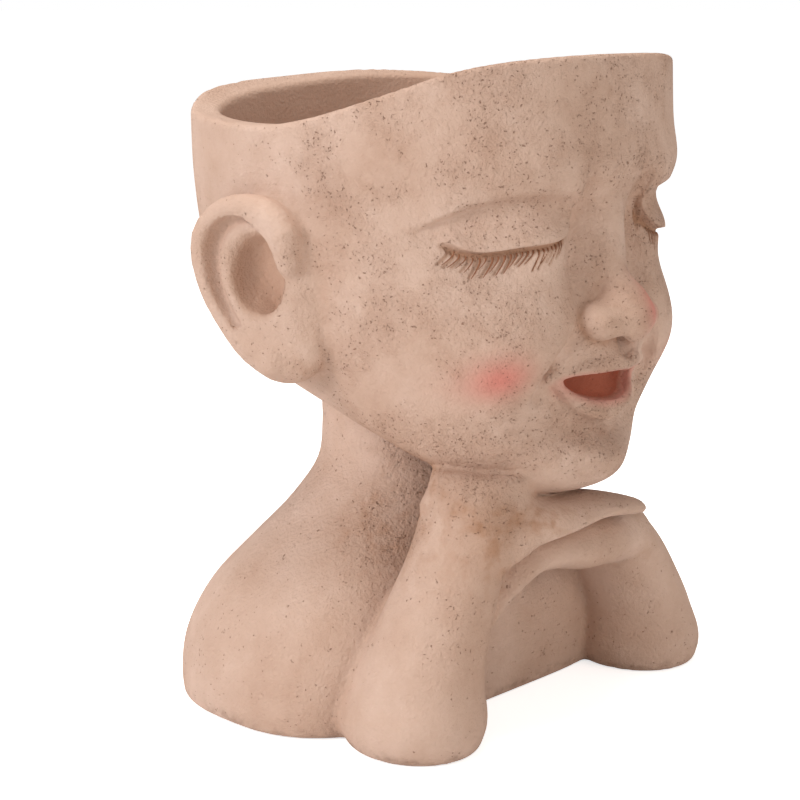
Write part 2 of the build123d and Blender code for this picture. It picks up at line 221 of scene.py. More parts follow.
def hand_form(x, y, z, rows):
    """A hand with rounded rows along X, rounded off at both ends."""
    along, height, half_depth, up, down = smooth_columns(rows, x)
    reach = np.where(z > height, up, down)
    ring = np.sqrt(((y - along) / half_depth) ** 2 + ((z - height) / reach) ** 2)
    body = (ring - 1) * np.minimum(half_depth, reach)
    low, high = rows[0][0], rows[-1][0]
    ends = np.abs(x - (low + high) / 2) - (high - low) / 2
    return keep_inside(body, ends, HAND_END_ROUNDING)


def right_hand_form(x, y, z):
    """The right hand, which carries the chin."""
    return hand_form(x, y, z, RIGHT_HAND_ROWS)


def left_hand_form(x, y, z):
    """The left hand, under the right one."""
    return hand_form(x, y, z, LEFT_HAND_ROWS)


# Head: a bald, open-topped bowl with a calm, doll-like face, its eyes closed and its mouth a little open.
# It is cast in one with the neck, and its nose, lids and lips are modelled on in soft clay.
# Rows of the head: height, half width, front, back and where it is widest.
HEAD_ROWS = (
    (70.0, 8.0, -34.0, -12.0, -24.0),
    (78.0, 16.2, -43.8, -2.1, -23.8),
    (85.0, 30.0, -56.9, 15.0, -20.3),
    (91.6, 40.8, -67.0, 31.9, -14.3),
    (102.0, 50.1, -72.0, 47.0, -8.2),
    (114.0, 58.0, -74.0, 56.2, -1.2),
    (128.0, 66.0, -75.5, 64.9, 4.9),
    (142.0, 71.5, -77.0, 73.6, 10.1),
    (160.0, 75.6, -78.0, 83.2, 15.3),
    (180.0, 78.0, -78.5, 90.6, 18.8),
    (200.0, 79.2, -79.5, 94.0, 20.0),
    (225.0, 80.0, -80.0, 94.0, 20.0),
    (262.0, 79.2, -80.5, 93.5, 20.0),
)
FACE_POWER = 2.4
NAPE_POWER = 3.1
# The slanting underside of the head: a point on it, and its rise towards the nape in degrees
JAW_START = -58.0
JAW_HEIGHT = 87.0
JAW_RISE = math.radians(23.0)
# Soft relief of the face, alike on both sides: place across, height, spread across, spread up, rise
RELIEF = (
    (34.0, 212.0, 24.0, 7.0, 1.8),
    (37.0, 193.5, 21.0, 8.0, -6.0),
    (53.0, 191.0, 9.0, 9.0, -3.6),
    (16.0, 188.0, 4.5, 11.0, -4.0),
    (16.5, 171.0, 4.5, 9.0, -2.8),
    (37.0, 190.0, 14.0, 7.0, 5.0),
    (50.0, 174.0, 13.0, 9.0, -2.0),
    (41.0, 147.0, 17.0, 15.0, 5.6),
    (20.5, 131.0, 8.0, 9.0, -6.0),
)
# Relief on the middle of the face, in the same terms
MIDDLE_RELIEF = (
    (0.0, 101.0, 14.0, 8.0, 6.4),
    (0.0, 114.5, 17.0, 4.2, -4.4),
    (0.0, 133.0, 11.0, 11.0, 5.6),
    (0.0, 147.5, 13.0, 5.0, 2.6),
    (0.0, 222.0, 40.0, 18.0, 1.2),
)
# The line where each closed lid ends, and the fold above the lid: place out, and height
LID_LINE = (
    (19.5, 198.0),
    (20.8, 193.5),
    (23.8, 188.8),
    (28.5, 186.0),
    (34.0, 184.8),
    (40.0, 184.0),
    (46.0, 182.6),
    (50.5, 182.0),
    (54.5, 183.0),
    (57.5, 185.2),
)
LID_FOLD = (
    (18.5, 198.0),
    (24.0, 200.4),
    (33.0, 201.2),
    (46.0, 200.2),
    (55.0, 196.4),
    (62.0, 191.4),
    (70.0, 186.5),
)
# A lid stands proud above its line, ends in a sharp edge and runs out upwards
LID_STEP = 2.0
LID_EDGE = 0.9
LID_RUN_OUT = 9.0
LID_INNER_FADE = 1.4
LID_OUTER_FADE = 4.0
LID_SHADOW_DEPTH = 1.2
LID_SHADOW_DROP = 1.3
LID_SHADOW_WIDTH = 1.15
# The brow does the same above the fold, with a softer edge
BROW_STEP = 3.0
BROW_EDGE = 4.6
BROW_RUN_OUT = 12.0
BROW_INNER_FADE = 13.0
BROW_OUTER_FADE = 12.0
BROW_END = 64.0
# Depth over which the relief fades from the face to the sides of the head
FACE_TURN = 24.0


def jaw_side(y, z):
    """How far a place lies above the slanting underside of the head."""
    return (z - JAW_HEIGHT) * math.cos(JAW_RISE) - (y - JAW_START) * math.sin(JAW_RISE)


def line_height(line, out):
    """Height of a line over the eye at a place out from the middle of the face."""
    return smooth_columns(line, np.clip(out, line[0][0], line[-1][0]))[0]


def lid_span(out):
    """1 where the eye is, fading to 0 past its corners."""
    inner, outer = LID_LINE[0][0], LID_LINE[-1][0]
    return soft_step((out - inner) / LID_INNER_FADE + 0.5) * soft_step((outer - out) / LID_OUTER_FADE + 0.5)


def above_line(line, out, z):
    """How far a place lies above a line over the eye, measured square to the line."""
    step = 0.4
    slope = (line_height(line, out + step) - line_height(line, out - step)) / (2 * step)
    return (z - line_height(line, out)) / np.sqrt(1 + slope**2)


def lid_shadow(out, z):
    """1 in the narrow hollow under the edge of a lid."""
    return bell(above_line(LID_LINE, out, z), -LID_SHADOW_DROP, LID_SHADOW_WIDTH) * lid_span(out)


def soft_rise(x, z):
    """How far the soft relief of the face stands proud of its plain form."""
    rise = 0
    for place, height, wide, tall, depth in RELIEF:
        rise = rise + depth * np.exp(-(((np.abs(x) - place) / wide) ** 2 + ((z - height) / tall) ** 2) / 2)
    for place, height, wide, tall, depth in MIDDLE_RELIEF:
        rise = rise + depth * np.exp(-(((x - place) / wide) ** 2 + ((z - height) / tall) ** 2) / 2)
    return rise


def face_rise(x, z):
    """How far the face, with its lids and its brow, stands proud of its plain form."""
    out = np.abs(x)
    span = lid_span(out)
    above = above_line(LID_LINE, out, z)
    higher = np.maximum(z - line_height(LID_LINE, out), 0)
    lid = LID_STEP * soft_step(above / LID_EDGE + 0.5) * bell(higher, 0, LID_RUN_OUT)
    above = above_line(LID_FOLD, out, z)
    brow = BROW_STEP * soft_step(above / BROW_EDGE + 0.5) * bell(np.maximum(above, 0), 0, BROW_RUN_OUT)
    brow = brow * soft_step((out - LID_FOLD[0][0]) / BROW_INNER_FADE + 0.5)
    brow = brow * soft_step((BROW_END - out) / BROW_OUTER_FADE + 0.5)
    return soft_rise(x, z) + lid * span + brow - LID_SHADOW_DEPTH * lid_shadow(out, z)


def face_front(x, z):
    """Place along Y of the front of the face."""
    half, front, back, middle = smooth_columns(HEAD_ROWS, z)
    side = np.minimum(np.abs(x) / half, 1)
    return middle + (front - middle) * (1 - side**FACE_POWER) ** (1 / FACE_POWER) - face_rise(x, z)


def ball(x, y, z, heart, radii):
    """How far a place lies outside an egg-shaped lump."""
    places = zip((x, y, z), heart, radii)
    ring = np.sqrt(sum(((place - middle) / radius) ** 2 for place, middle, radius in places))
    return (ring - 1) * min(radii)


def roll(x, y, z, path):
    """How far a place lies outside a roll of clay through points, each with its own radius."""
    result = None
    for start, end in zip(path[:-1], path[1:]):
        step = [b - a for a, b in zip(start[:3], end[:3])]
        long = sum(value**2 for value in step)
        along = ((x - start[0]) * step[0] + (y - start[1]) * step[1] + (z - start[2]) * step[2]) / long
        along = np.clip(along, 0, 1)
        radius = start[3] + along * (end[3] - start[3])
        away = np.sqrt(
            (x - start[0] - along * step[0]) ** 2
            + (y - start[1] - along * step[1]) ** 2
            + (z - start[2] - along * step[2]) ** 2
        )
        form = away - radius
        result = form if result is None else np.minimum(result, form)
    return result


def smooth_path(points, count):
    """A path run smoothly through points, as more points."""
    table = np.array(points, float)
    steps = np.concatenate([[0.0], np.cumsum(np.linalg.norm(np.diff(table[:, :3], axis=0), axis=1))])
    places = np.linspace(0, steps[-1], count)
    return list(zip(*smooth_columns(np.column_stack([steps, table]), places)))


def on_face(x, z, stand, radius):
    """A point of a roll that follows the face: its heart stands that far proud of it."""
    return (x, float(face_front(np.array(x), np.array(z))) - stand, z, radius)


# Nose, lips and the folds beside them: the middles and radii of lumps, and the points of rolls with the
# radius there. A point on the face is given as its place across, its height, its stand and its radius.
NOSE_TIP = (0.0, -85.5, 156.5)
NOSE_TIP_RADII = (10.0, 9.5, 9.3)
NOSE_BRIDGE = (
    (0.0, -73.5, 197.0, 5.0),
    (0.0, -75.0, 184.0, 5.4),
    (0.0, -75.8, 173.0, 6.0),
    (0.0, -81.5, 163.5, 7.8),
)
NOSE_WING = (10.4, -80.5, 155.8)
NOSE_WING_RADII = (8.8, 9.4, 7.2)
NOSTRIL = (6.0, -85.0, 147.8)
NOSTRIL_RADII = (3.4, 5.0, 3.2)
TIP_FILLET = 7.0
WING_FILLET = 4.0
NOSTRIL_ROUNDING = 1.8
LIP_STEPS = 17
UPPER_LIP = smooth_path([on_face(*row) for row in (
    (-26.0, 136.4, -1.4, 1.2),
    (-19.0, 137.2, 0.0, 2.0),
    (-10.0, 139.0, 0.9, 2.8),
    (-3.4, 140.6, 2.0, 2.7),
    (0.0, 139.6, 2.2, 2.5),
    (3.4, 140.6, 2.0, 2.7),
    (10.0, 139.0, 0.9, 2.8),
    (19.0, 137.2, 0.0, 2.0),
    (26.0, 136.4, -1.4, 1.2),
)], LIP_STEPS)
LOWER_LIP = smooth_path([on_face(*row) for row in (
    (-24.5, 136.4, -1.6, 1.2),
    (-19.0, 130.6, 0.0, 2.2),
    (-10.5, 123.8, 0.4, 3.4),
    (0.0, 121.0, -0.2, 3.9),
    (10.5, 123.8, 0.4, 3.4),
    (19.0, 130.6, 0.0, 2.2),
    (24.5, 136.4, -1.6, 1.2),
)], LIP_STEPS)
PHILTRUM = [on_face(*row) for row in ((0.0, 150.5, 1.2, 2.4), (0.0, 144.4, 2.8, 2.2))]
SMILE_FOLD = [on_face(*row) for row in (
    (20.5, 151.0, 0.8, 2.2),
    (26.5, 143.5, 0.2, 2.6),
    (30.0, 136.5, -1.6, 3.4),
    (30.5, 129.0, 0.4, 2.8),
)]
MOUTH_HEIGHT = 134.6
MOUTH_RADII = (19.0, 9.0, 9.2)
MOUTH_FLATNESS = 0.30
# How softly each part of the face runs into it
NOSE_FILLET = 1.4
BRIDGE_FILLET = 3.0
BRIDGE_HEIGHT = 164.0
BRIDGE_FADE = 12.0
FOLD_SOFTNESS = 3.4
UPPER_LIP_FILLET = 4.4
LOWER_LIP_FILLET = 2.2
PHILTRUM_SOFTNESS = 2.2
MOUTH_ROUNDING = 1.2
JAW_ROUNDING = 9.0


def mouth_form(x, y, z):
    """The open mouth, which follows the face: flat above, under the upper lip, and round below."""
    flatness = np.where(z > MOUTH_HEIGHT, MOUTH_FLATNESS, 1.0)
    inward = y - face_front(x, z)
    return ball(x, inward, (z - MOUTH_HEIGHT) / flatness, (0.0, 0.0, 0.0), MOUTH_RADII)


def nose_form(x, y, z):
    """The nose alone: its bridge, its tip and its wings."""
    tip = join(roll(x, y, z, NOSE_BRIDGE), ball(x, y, z, NOSE_TIP, NOSE_TIP_RADII), TIP_FILLET)
    nose = join(tip, ball(np.abs(x), y, z, NOSE_WING, NOSE_WING_RADII), WING_FILLET)
    return cut_away(nose, ball(np.abs(x), y, z, NOSTRIL, NOSTRIL_RADII), NOSTRIL_ROUNDING)


def bare_head_form(x, y, z):
    """The head without nose and mouth."""
    half, front, back, middle = smooth_columns(HEAD_ROWS, z)
    power = np.where(y < middle, FACE_POWER, NAPE_POWER)
    plain = rounded_ring(x, y, half, front, back, middle, power)
    facing = np.clip((middle - y) / FACE_TURN, 0, 1)
    return keep_inside(plain - face_rise(x, z) * facing, -jaw_side(y, z), JAW_ROUNDING)


def head_form(x, y, z):
    """The solid head with its face, before it is hollowed."""
    nose_fillet = NOSE_FILLET + BRIDGE_FILLET * soft_step((z - BRIDGE_HEIGHT) / BRIDGE_FADE)
    form = join(bare_head_form(x, y, z), nose_form(x, y, z), nose_fillet)
    form = cut_away(form, roll(np.abs(x), y, z, SMILE_FOLD), FOLD_SOFTNESS)
    form = join(form, roll(x, y, z, UPPER_LIP), UPPER_LIP_FILLET)
    form = join(form, roll(x, y, z, LOWER_LIP), LOWER_LIP_FILLET)
    form = cut_away(form, roll(x, y, z, PHILTRUM), PHILTRUM_SOFTNESS)
    return cut_away(form, mouth_form(x, y, z), MOUTH_ROUNDING)


# Hollow of the head and its rim: the pot proper, smooth inside, with a slanting floor above the jaw.
# Its rim dips behind the forehead. Rim profile: place along, height on the right side, on the left side.
RIM_ROWS = (
    (-110.0, 251.0, 251.0),
    (-85.0, 250.5, 250.5),
    (-60.0, 246.0, 246.8),
    (-30.0, 235.5, 242.0),
    (0.0, 227.0, 237.2),
    (17.0, 224.2, 234.4),
    (40.0, 224.0, 233.8),
    (60.0, 225.6, 236.4),
    (80.0, 229.0, 238.6),
    (95.0, 236.0, 240.8),
    (115.0, 240.0, 242.0),
)
RIM_SPAN = 160.0
NECK_BORE_RADIUS = 27.0
NECK_BORE_TOP = 160.0
NECK_FLOOR_HEIGHT = 88.0
NECK_FLOOR_ROUNDING = 4.0
BORE_END_ROUNDING = 1.0
BOWL_ROUNDING = 12.0
BORE_FILLET = 4.0
# Clay left behind the hollows of the eyes and the mouth: how thick, from where to where, and how it fades
FACE_BACKING = 5.5
BACKING_FOOT = 98.0
BACKING_FOOT_FADE = 26.0
BACKING_TOP = 220.0
BACKING_TOP_FADE = 22.0


def pot_hollow(x, y, z):
    """The space that the plant and its soil fill."""
    half, front, back, middle = smooth_columns(HEAD_ROWS, z)
    power = np.where(y < middle, FACE_POWER, NAPE_POWER)
    inner = rounded_ring(x, y, half - WALL, front + WALL, back - WALL, middle, power)
    facing = np.clip((middle - y) / FACE_TURN, 0, 1)
    backing = FACE_BACKING * facing * soft_step((z - BACKING_FOOT) / BACKING_FOOT_FADE)
    inner = inner + backing * soft_step((BACKING_TOP - z) / BACKING_TOP_FADE)
    bowl = keep_inside(inner, WALL - jaw_side(y, z), BOWL_ROUNDING)
    bore = np.hypot(x, y - NECK_MIDDLE) - NECK_BORE_RADIUS
    bore = keep_inside(bore, NECK_FLOOR_HEIGHT - z, NECK_FLOOR_ROUNDING)
    bore = keep_inside(bore, z - NECK_BORE_TOP, BORE_END_ROUNDING)
    return join(bowl, bore, BORE_FILLET)


def under_rim(x, y, z):
    """How far a place lies below the cut of the crown; negative above it."""
    right, left = smooth_columns(RIM_ROWS, y)
    return right + (left - right) * soft_step(x / RIM_SPAN + 0.5) - z


# Ears: large ears with a rolled edge, an inner ridge, a deep hollow and a full lobe.
# Each is built up from lumps and rolls of clay and luted to the side of the head.
# Points of an ear are given as: place back from its root, height above its foot, place outwards, and for
# a roll the radius there.
EAR_ROOT = (79.0, -2.0, 130.0)
EAR_FLARE = math.radians(14.0)
EDGE_STEPS = 24
RIDGE_STEPS = 16
EAR_EDGE = smooth_path((
    (7.0, 46.0, 2.4, 5.6),
    (8.4, 54.5, 2.4, 6.6),
    (15.0, 61.0, 1.8, 6.4),
    (26.0, 64.0, 1.0, 5.4),
    (38.0, 61.4, 0.6, 4.8),
    (45.0, 54.5, 0.6, 4.6),
    (46.2, 45.0, 0.6, 4.6),
    (43.0, 34.0, 0.4, 4.6),
    (36.5, 23.5, 0.0, 4.6),
    (27.0, 14.0, 0.0, 5.4),
    (15.0, 9.6, 0.0, 7.0),
), EDGE_STEPS)
EAR_RIDGE = smooth_path((
    (17.0, 56.5, -1.0, 1.6),
    (26.0, 57.0, 0.2, 2.4),
    (33.4, 51.0, 1.0, 2.9),
    (34.8, 42.0, 1.0, 2.9),
    (31.8, 32.0, 0.8, 2.9),
    (25.6, 23.0, 0.2, 3.2),
    (18.0, 17.5, -0.4, 4.0),
), RIDGE_STEPS)
EAR_GROOVE = smooth_path((
    (18.0, 60.0, 3.0, 1.2),
    (30.0, 60.2, 2.6, 2.0),
    (38.4, 54.2, 2.4, 2.6),
    (40.2, 43.0, 2.4, 2.6),
    (36.9, 32.0, 2.4, 2.5),
    (30.4, 22.0, 2.8, 1.8),
), RIDGE_STEPS)
# Lumps and hollows of an ear: their middle and their radii
EAR_UPPER = ((25.0, 44.0, -3.0), (20.0, 20.0, 5.0))
EAR_LOWER = ((22.0, 27.0, -3.0), (16.0, 19.0, 5.0))
EAR_STEM = ((10.0, 34.0, -14.0), (16.0, 29.0, 17.0))
EAR_LOBE = ((11.0, 13.0, -3.4), (13.0, 11.5, 7.6))
EAR_TRAGUS = ((5.2, 35.0, -4.0), (4.8, 8.0, 6.0))
PIT_WIDE = ((20.5, 40.5, 3.0), (10.5, 14.0, 11.0))
PIT_DEEP = ((15.5, 38.0, -3.0), (6.6, 10.0, 10.5))
# How softly they run together
LUMP_FILLET = 6.0
PIT_FILLET = 4.0
EDGE_FILLET = 3.0
RIDGE_FILLET = 2.4
GROOVE_ROUNDING = 2.0
PIT_ROUNDING = 1.8


def ear_axes(x, y, z):
    """A place in the ear's own terms, alike on both sides of the head."""
    out = np.abs(x) - EAR_ROOT[0]
    back = y - EAR_ROOT[1]
    cosine, sine = math.cos(EAR_FLARE), math.sin(EAR_FLARE)
    return out * sine + back * cosine, z - EAR_ROOT[2], out * cosine - back * sine


def ear_pit(back, up, out):
    """The deep hollow of the ear."""
    return join(ball(back, up, out, *PIT_WIDE), ball(back, up, out, *PIT_DEEP), PIT_FILLET)


def ear_form(x, y, z):
    """An ear on its root, which narrows to the side of the head."""
    back, up, out = ear_axes(x, y, z)
    form = ball(back, up, out, *EAR_UPPER)
    for lump in (EAR_LOWER, EAR_STEM, EAR_LOBE):
        form = join(form, ball(back, up, out, *lump), LUMP_FILLET)
    form = join(form, roll(back, up, out, EAR_EDGE), EDGE_FILLET)
    form = cut_away(form, roll(back, up, out, EAR_GROOVE), GROOVE_ROUNDING)
    form = join(form, roll(back, up, out, EAR_RIDGE), RIDGE_FILLET)
    form = cut_away(form, ear_pit(back, up, out), PIT_ROUNDING)
    return join(form, ball(back, up, out, *EAR_TRAGUS), RIDGE_FILLET)


# Skin of the whole casting: all members run together in soft fillets, then the hollows are cut.
# It is drawn as a net of four-sided faces, parted by member, and smoothed onto the exact form.
MEMBERS = (
    "head_bowl",
    "bust",
    "right_forearm",
    "left_forearm",
    "right_hand",
    "left_hand",
    "right_ear",
    "left_ear",
)
NET = 1.95
SETTLING_ROUNDS = 3
# A distance that stands for nowhere near, on the other side of the head from an ear
FAR = 60.0
# Reach of the fillets between members
RIGHT_ARM_FILLET = 3.6
LEFT_ARM_FILLET = 3.2
HAND_FILLET = 1.4
PALM_FILLET = 3.4
HEEL_FILLET = 6.0
HEEL_HEIGHT = 82.0
HEEL_FADE = 6.0
EAR_FILLET = 3.6
CHIN_FILLET = 2.4
# Rounding of the edges that the hollows and the table leave
RIM_ROUNDING = 2.6
HOLLOW_ROUNDING = 2.2
SHELL_ROUNDING = 2.0
DRAIN_ROUNDING = 0.6
FOOT_ROUNDING = 3.2
# Unevenness of the hand-finished surface: height, and length and phase of its waves along each axis
WAVES = (
    (0.45, (17.0, 1.3), (21.0, 0.4), (19.0, 2.1)),
    (0.18, (6.3, 0.7), (5.7, 1.9), (6.9, 0.2)),
)


def member_forms(x, y, z):
    """The forms of all members, in the order of their names."""
    ear = ear_form(x, y, z)
    return [
        head_form(x, y, z),
        bust_form(x, y, z),
        right_forearm_form(x, y, z),
        left_forearm_form(x, y, z),
        right_hand_form(x, y, z),
        left_hand_form(x, y, z),
        np.where(x < 0, ear, FAR),
        np.where(x > 0, ear, FAR),
    ]


def hand_made(x, y, z):
    """The slight unevenness of a hand-finished surface."""
    rise = 0
    for height, *waves in WAVES:
        ripples = [np.sin(place / length + phase) for place, (length, phase) in zip((x, y, z), waves)]
        rise = rise + height * ripples[0] * ripples[1] * ripples[2]
    return rise


def casting_form(x, y, z, forms=None):
    """The whole casting as one form, with its hollows cut."""
    forms = forms or member_forms(x, y, z)
    head, bust, right_arm, left_arm, right_hand, left_hand, right_ear, left_ear = forms
    arms = join(join(bust, right_arm, RIGHT_ARM_FILLET), left_arm, LEFT_ARM_FILLET)
    hands = join(right_hand, left_hand, HAND_FILLET)
    lower = join(arms, hands, PALM_FILLET + HEEL_FILLET * soft_step((z - HEEL_HEIGHT) / HEEL_FADE))
    upper = join(head, np.minimum(right_ear, left_ear), EAR_FILLET)
    form = join(upper, lower, CHIN_FILLET) - hand_made(x, y, z)
    form = keep_inside(form, -under_rim(x, y, z), RIM_ROUNDING)
    form = cut_away(form, pot_hollow(x, y, z), HOLLOW_ROUNDING)
    form = cut_away(form, shell_hollow(x, y, z), SHELL_ROUNDING)
    form = cut_away(form, drain_hole(x, y), DRAIN_ROUNDING)
    return keep_inside(form, -z, FOOT_ROUNDING)


# The box that the net is drawn in, the forms on its grid, and the member that owns each grid point.
# An owner of 0 is open air.
low_corner = np.array([-112.0, -104.0, -4.0])
high_corner = np.array([112.0, 102.0, 258.0])
counts = np.ceil((high_corner - low_corner) / NET).astype(int) + 1
axes = [low_corner[axis] + NET * np.arange(counts[axis]) for axis in range(3)]
grid = (axes[0][:, None, None], axes[1][None, :, None], axes[2][None, None, :])
grid_forms = [np.broadcast_to(form, tuple(counts)).astype(np.float32) for form in member_forms(*grid)]
grid_form = np.broadcast_to(casting_form(*grid, forms=grid_forms), tuple(counts)).astype(np.float32)
owner = np.where(grid_form < 0, 1 + np.argmin(np.stack(grid_forms), axis=0), 0).astype(np.int8)


def net_corners(owner, form):
    """Corners of the net: one in each cell that is not all of one owner, at the mean of its crossings."""
    cells = tuple(size - 1 for size in owner.shape)
    corner_sum = np.zeros(cells + (3,), np.float32)
    corner_hits = np.zeros(cells, np.float32)
    for axis in range(3):
        others = [other for other in range(3) if other != axis]
        for first in (0, 1):
            for second in (0, 1):
                start = [slice(None)] * 3
                start[axis] = slice(0, -1)
                start[others[0]] = slice(first, first + cells[others[0]])
                start[others[1]] = slice(second, second + cells[others[1]])
                end = list(start)
                end[axis] = slice(1, None)
                start, end = tuple(start), tuple(end)
                crossed = owner[start] != owner[end]
                through = (form[start] < 0) != (form[end] < 0)
                drop = np.where(through, form[start] - form[end], 1)
                place = [0.0, 0.0, 0.0]
                place[axis] = np.where(through, form[start] / drop, 0.5)
                place[others[0]] = float(first)
                place[others[1]] = float(second)
                for direction in range(3):
                    corner_sum[..., direction] += np.where(crossed, place[direction], 0)
                corner_hits += crossed
    live = corner_hits > 0
    index = np.full(cells, -1, np.int64)
    index[live] = np.arange(int(live.sum()))
    return low_corner + NET * (np.argwhere(live) + corner_sum[live] / corner_hits[live][:, None]), index


def faces_between(owner, index):
    """Faces of the net: one for each grid edge between two owners, facing from the first to the second."""
    faces = []
    owners = []
    for axis in range(3):
        u, v = (axis + 1) % 3, (axis + 2) % 3
        start = [slice(None)] * 3
        start[axis] = slice(0, -1)
        start[u] = slice(1, -1)
        start[v] = slice(1, -1)
        end = list(start)
        end[axis] = slice(1, None)
        first, second = owner[tuple(start)], owner[tuple(end)]
        found = np.argwhere(first != second)
        ring = []
        for du, dv in ((0, 0), (1, 0), (1, 1), (0, 1)):
            cell = found.copy()
            cell[:, u] += du
            cell[:, v] += dv
            ring.append(index[tuple(cell.T)])
        faces.append(np.stack(ring, axis=1))
        pick = tuple(found.T)
        owners.append(np.stack([first[pick], second[pick]], axis=1))
    return np.concatenate(faces), np.concatenate(owners)


corners, corner_index = net_corners(owner, grid_form)
net_faces, net_owners = faces_between(owner, corner_index)


def form_slope(points):
    """Value and slope of the casting's form at points."""
    step = 0.12
    value = casting_form(*points.T)
    steps = step * np.eye(3)
    slope = np.stack([casting_form(*(points + steps[axis]).T) - value for axis in range(3)], axis=1)
    return value, slope / step


def onto_form(points, rounds):
    """Points moved onto the surface of the casting's form, and the directions that face out of it there."""
    least_slope = 0.05
    longest_move = NET * 0.7
    tiny = 1e-9
    points = points.copy()
    for _ in range(rounds):
        value, slope = form_slope(points)
        size = np.maximum((slope**2).sum(axis=1), least_slope)
        move = -(value / size)[:, None] * slope
        length = np.linalg.norm(move, axis=1)
        move *= np.minimum(1, longest_move / np.maximum(length, tiny))[:, None]
        points += move
    slope = form_slope(points)[1]
    return points, slope / np.maximum(np.linalg.norm(slope, axis=1), tiny)[:, None]


outer = (net_owners == 0).any(axis=1)
on_surface = np.zeros(len(corners), bool)
on_surface[net_faces[outer].ravel()] = True
corners[on_surface] = onto_form(corners[on_surface], SETTLING_ROUNDS)[0]


# Eyelashes: short lines cut into the clay under each lid with a needle, filled with brown wash.
# They are set out along the lid line as fine blades, each leaning outwards, of uneven length.
LASH_COUNT = 21
LASH_INNER_GAP = 5.5
LASH_OUTER_GAP = 1.0
LASH_DROP = 1.9
LASH_LENGTH = 6.9
LASH_WIDTH = 0.54
LASH_CURL = 0.5
LASH_TIP_WIDTH = 0.35
LASH_LEAN_INNER = 0.30
LASH_LEAN_OUTER = 0.62
LASH_LEAN_STRAY = 0.16
LASH_SHORTEST = 0.68
LASH_LONGEST = 1.12
LASH_BENDS = 18
LASH_CORNERS = 4
RIGHT_LASH_SEED = 3
LEFT_LASH_SEED = 11
LENGTH_SEED_STEP = 5
WASH_SINK = 0.30
WASH_THICKNESS = 0.5
LASH_INPUTS = (
    ("Line", "NodeSocketGeometry"),
    ("Count", "NodeSocketInt"),
    ("Length", "NodeSocketFloat"),
    ("Width", "NodeSocketFloat"),
    ("Curl", "NodeSocketFloat"),
    ("Lean inner", "NodeSocketFloat"),
    ("Lean outer", "NodeSocketFloat"),
    ("Seed", "NodeSocketInt"),
    ("Wash", "NodeSocketMaterial"),
)


def add_node(tree, kind, place, inputs=None, **settings):
    """One node of a tree. Each input is a value, or the output of another node that feeds it."""
    node = tree.nodes.new(kind)
    node.location = place
    for name, value in settings.items():
        setattr(node, name, value)
    for name, value in (inputs or {}).items():
        if isinstance(value, bpy.types.NodeSocket):
            tree.links.new(value, node.inputs[name])
        else:
            node.inputs[name].default_value = value
    return node


def reckon(tree, operation, first, second, place, **settings):
    """The result of two values, each of them a number or another node's output."""
    inputs = {0: first, 1: second}
    return add_node(tree, "ShaderNodeMath", place, inputs, operation=operation, **settings).outputs[0]


def remap(tree, value, source, target, place):
    """A value carried from one range over to another, and held within it."""
    inputs = {"Value": value, "From Min": source[0], "From Max": source[1]}
    inputs.update({"To Min": target[0], "To Max": target[1]})
    return add_node(tree, "ShaderNodeMapRange", place, inputs).outputs[0]


def stray_value(tree, low, high, seed, place):
    """A chance value between two bounds, another one for each lash."""
    return add_node(tree, "FunctionNodeRandomValue", place, {2: low, 3: high, "Seed": seed}).outputs[1]


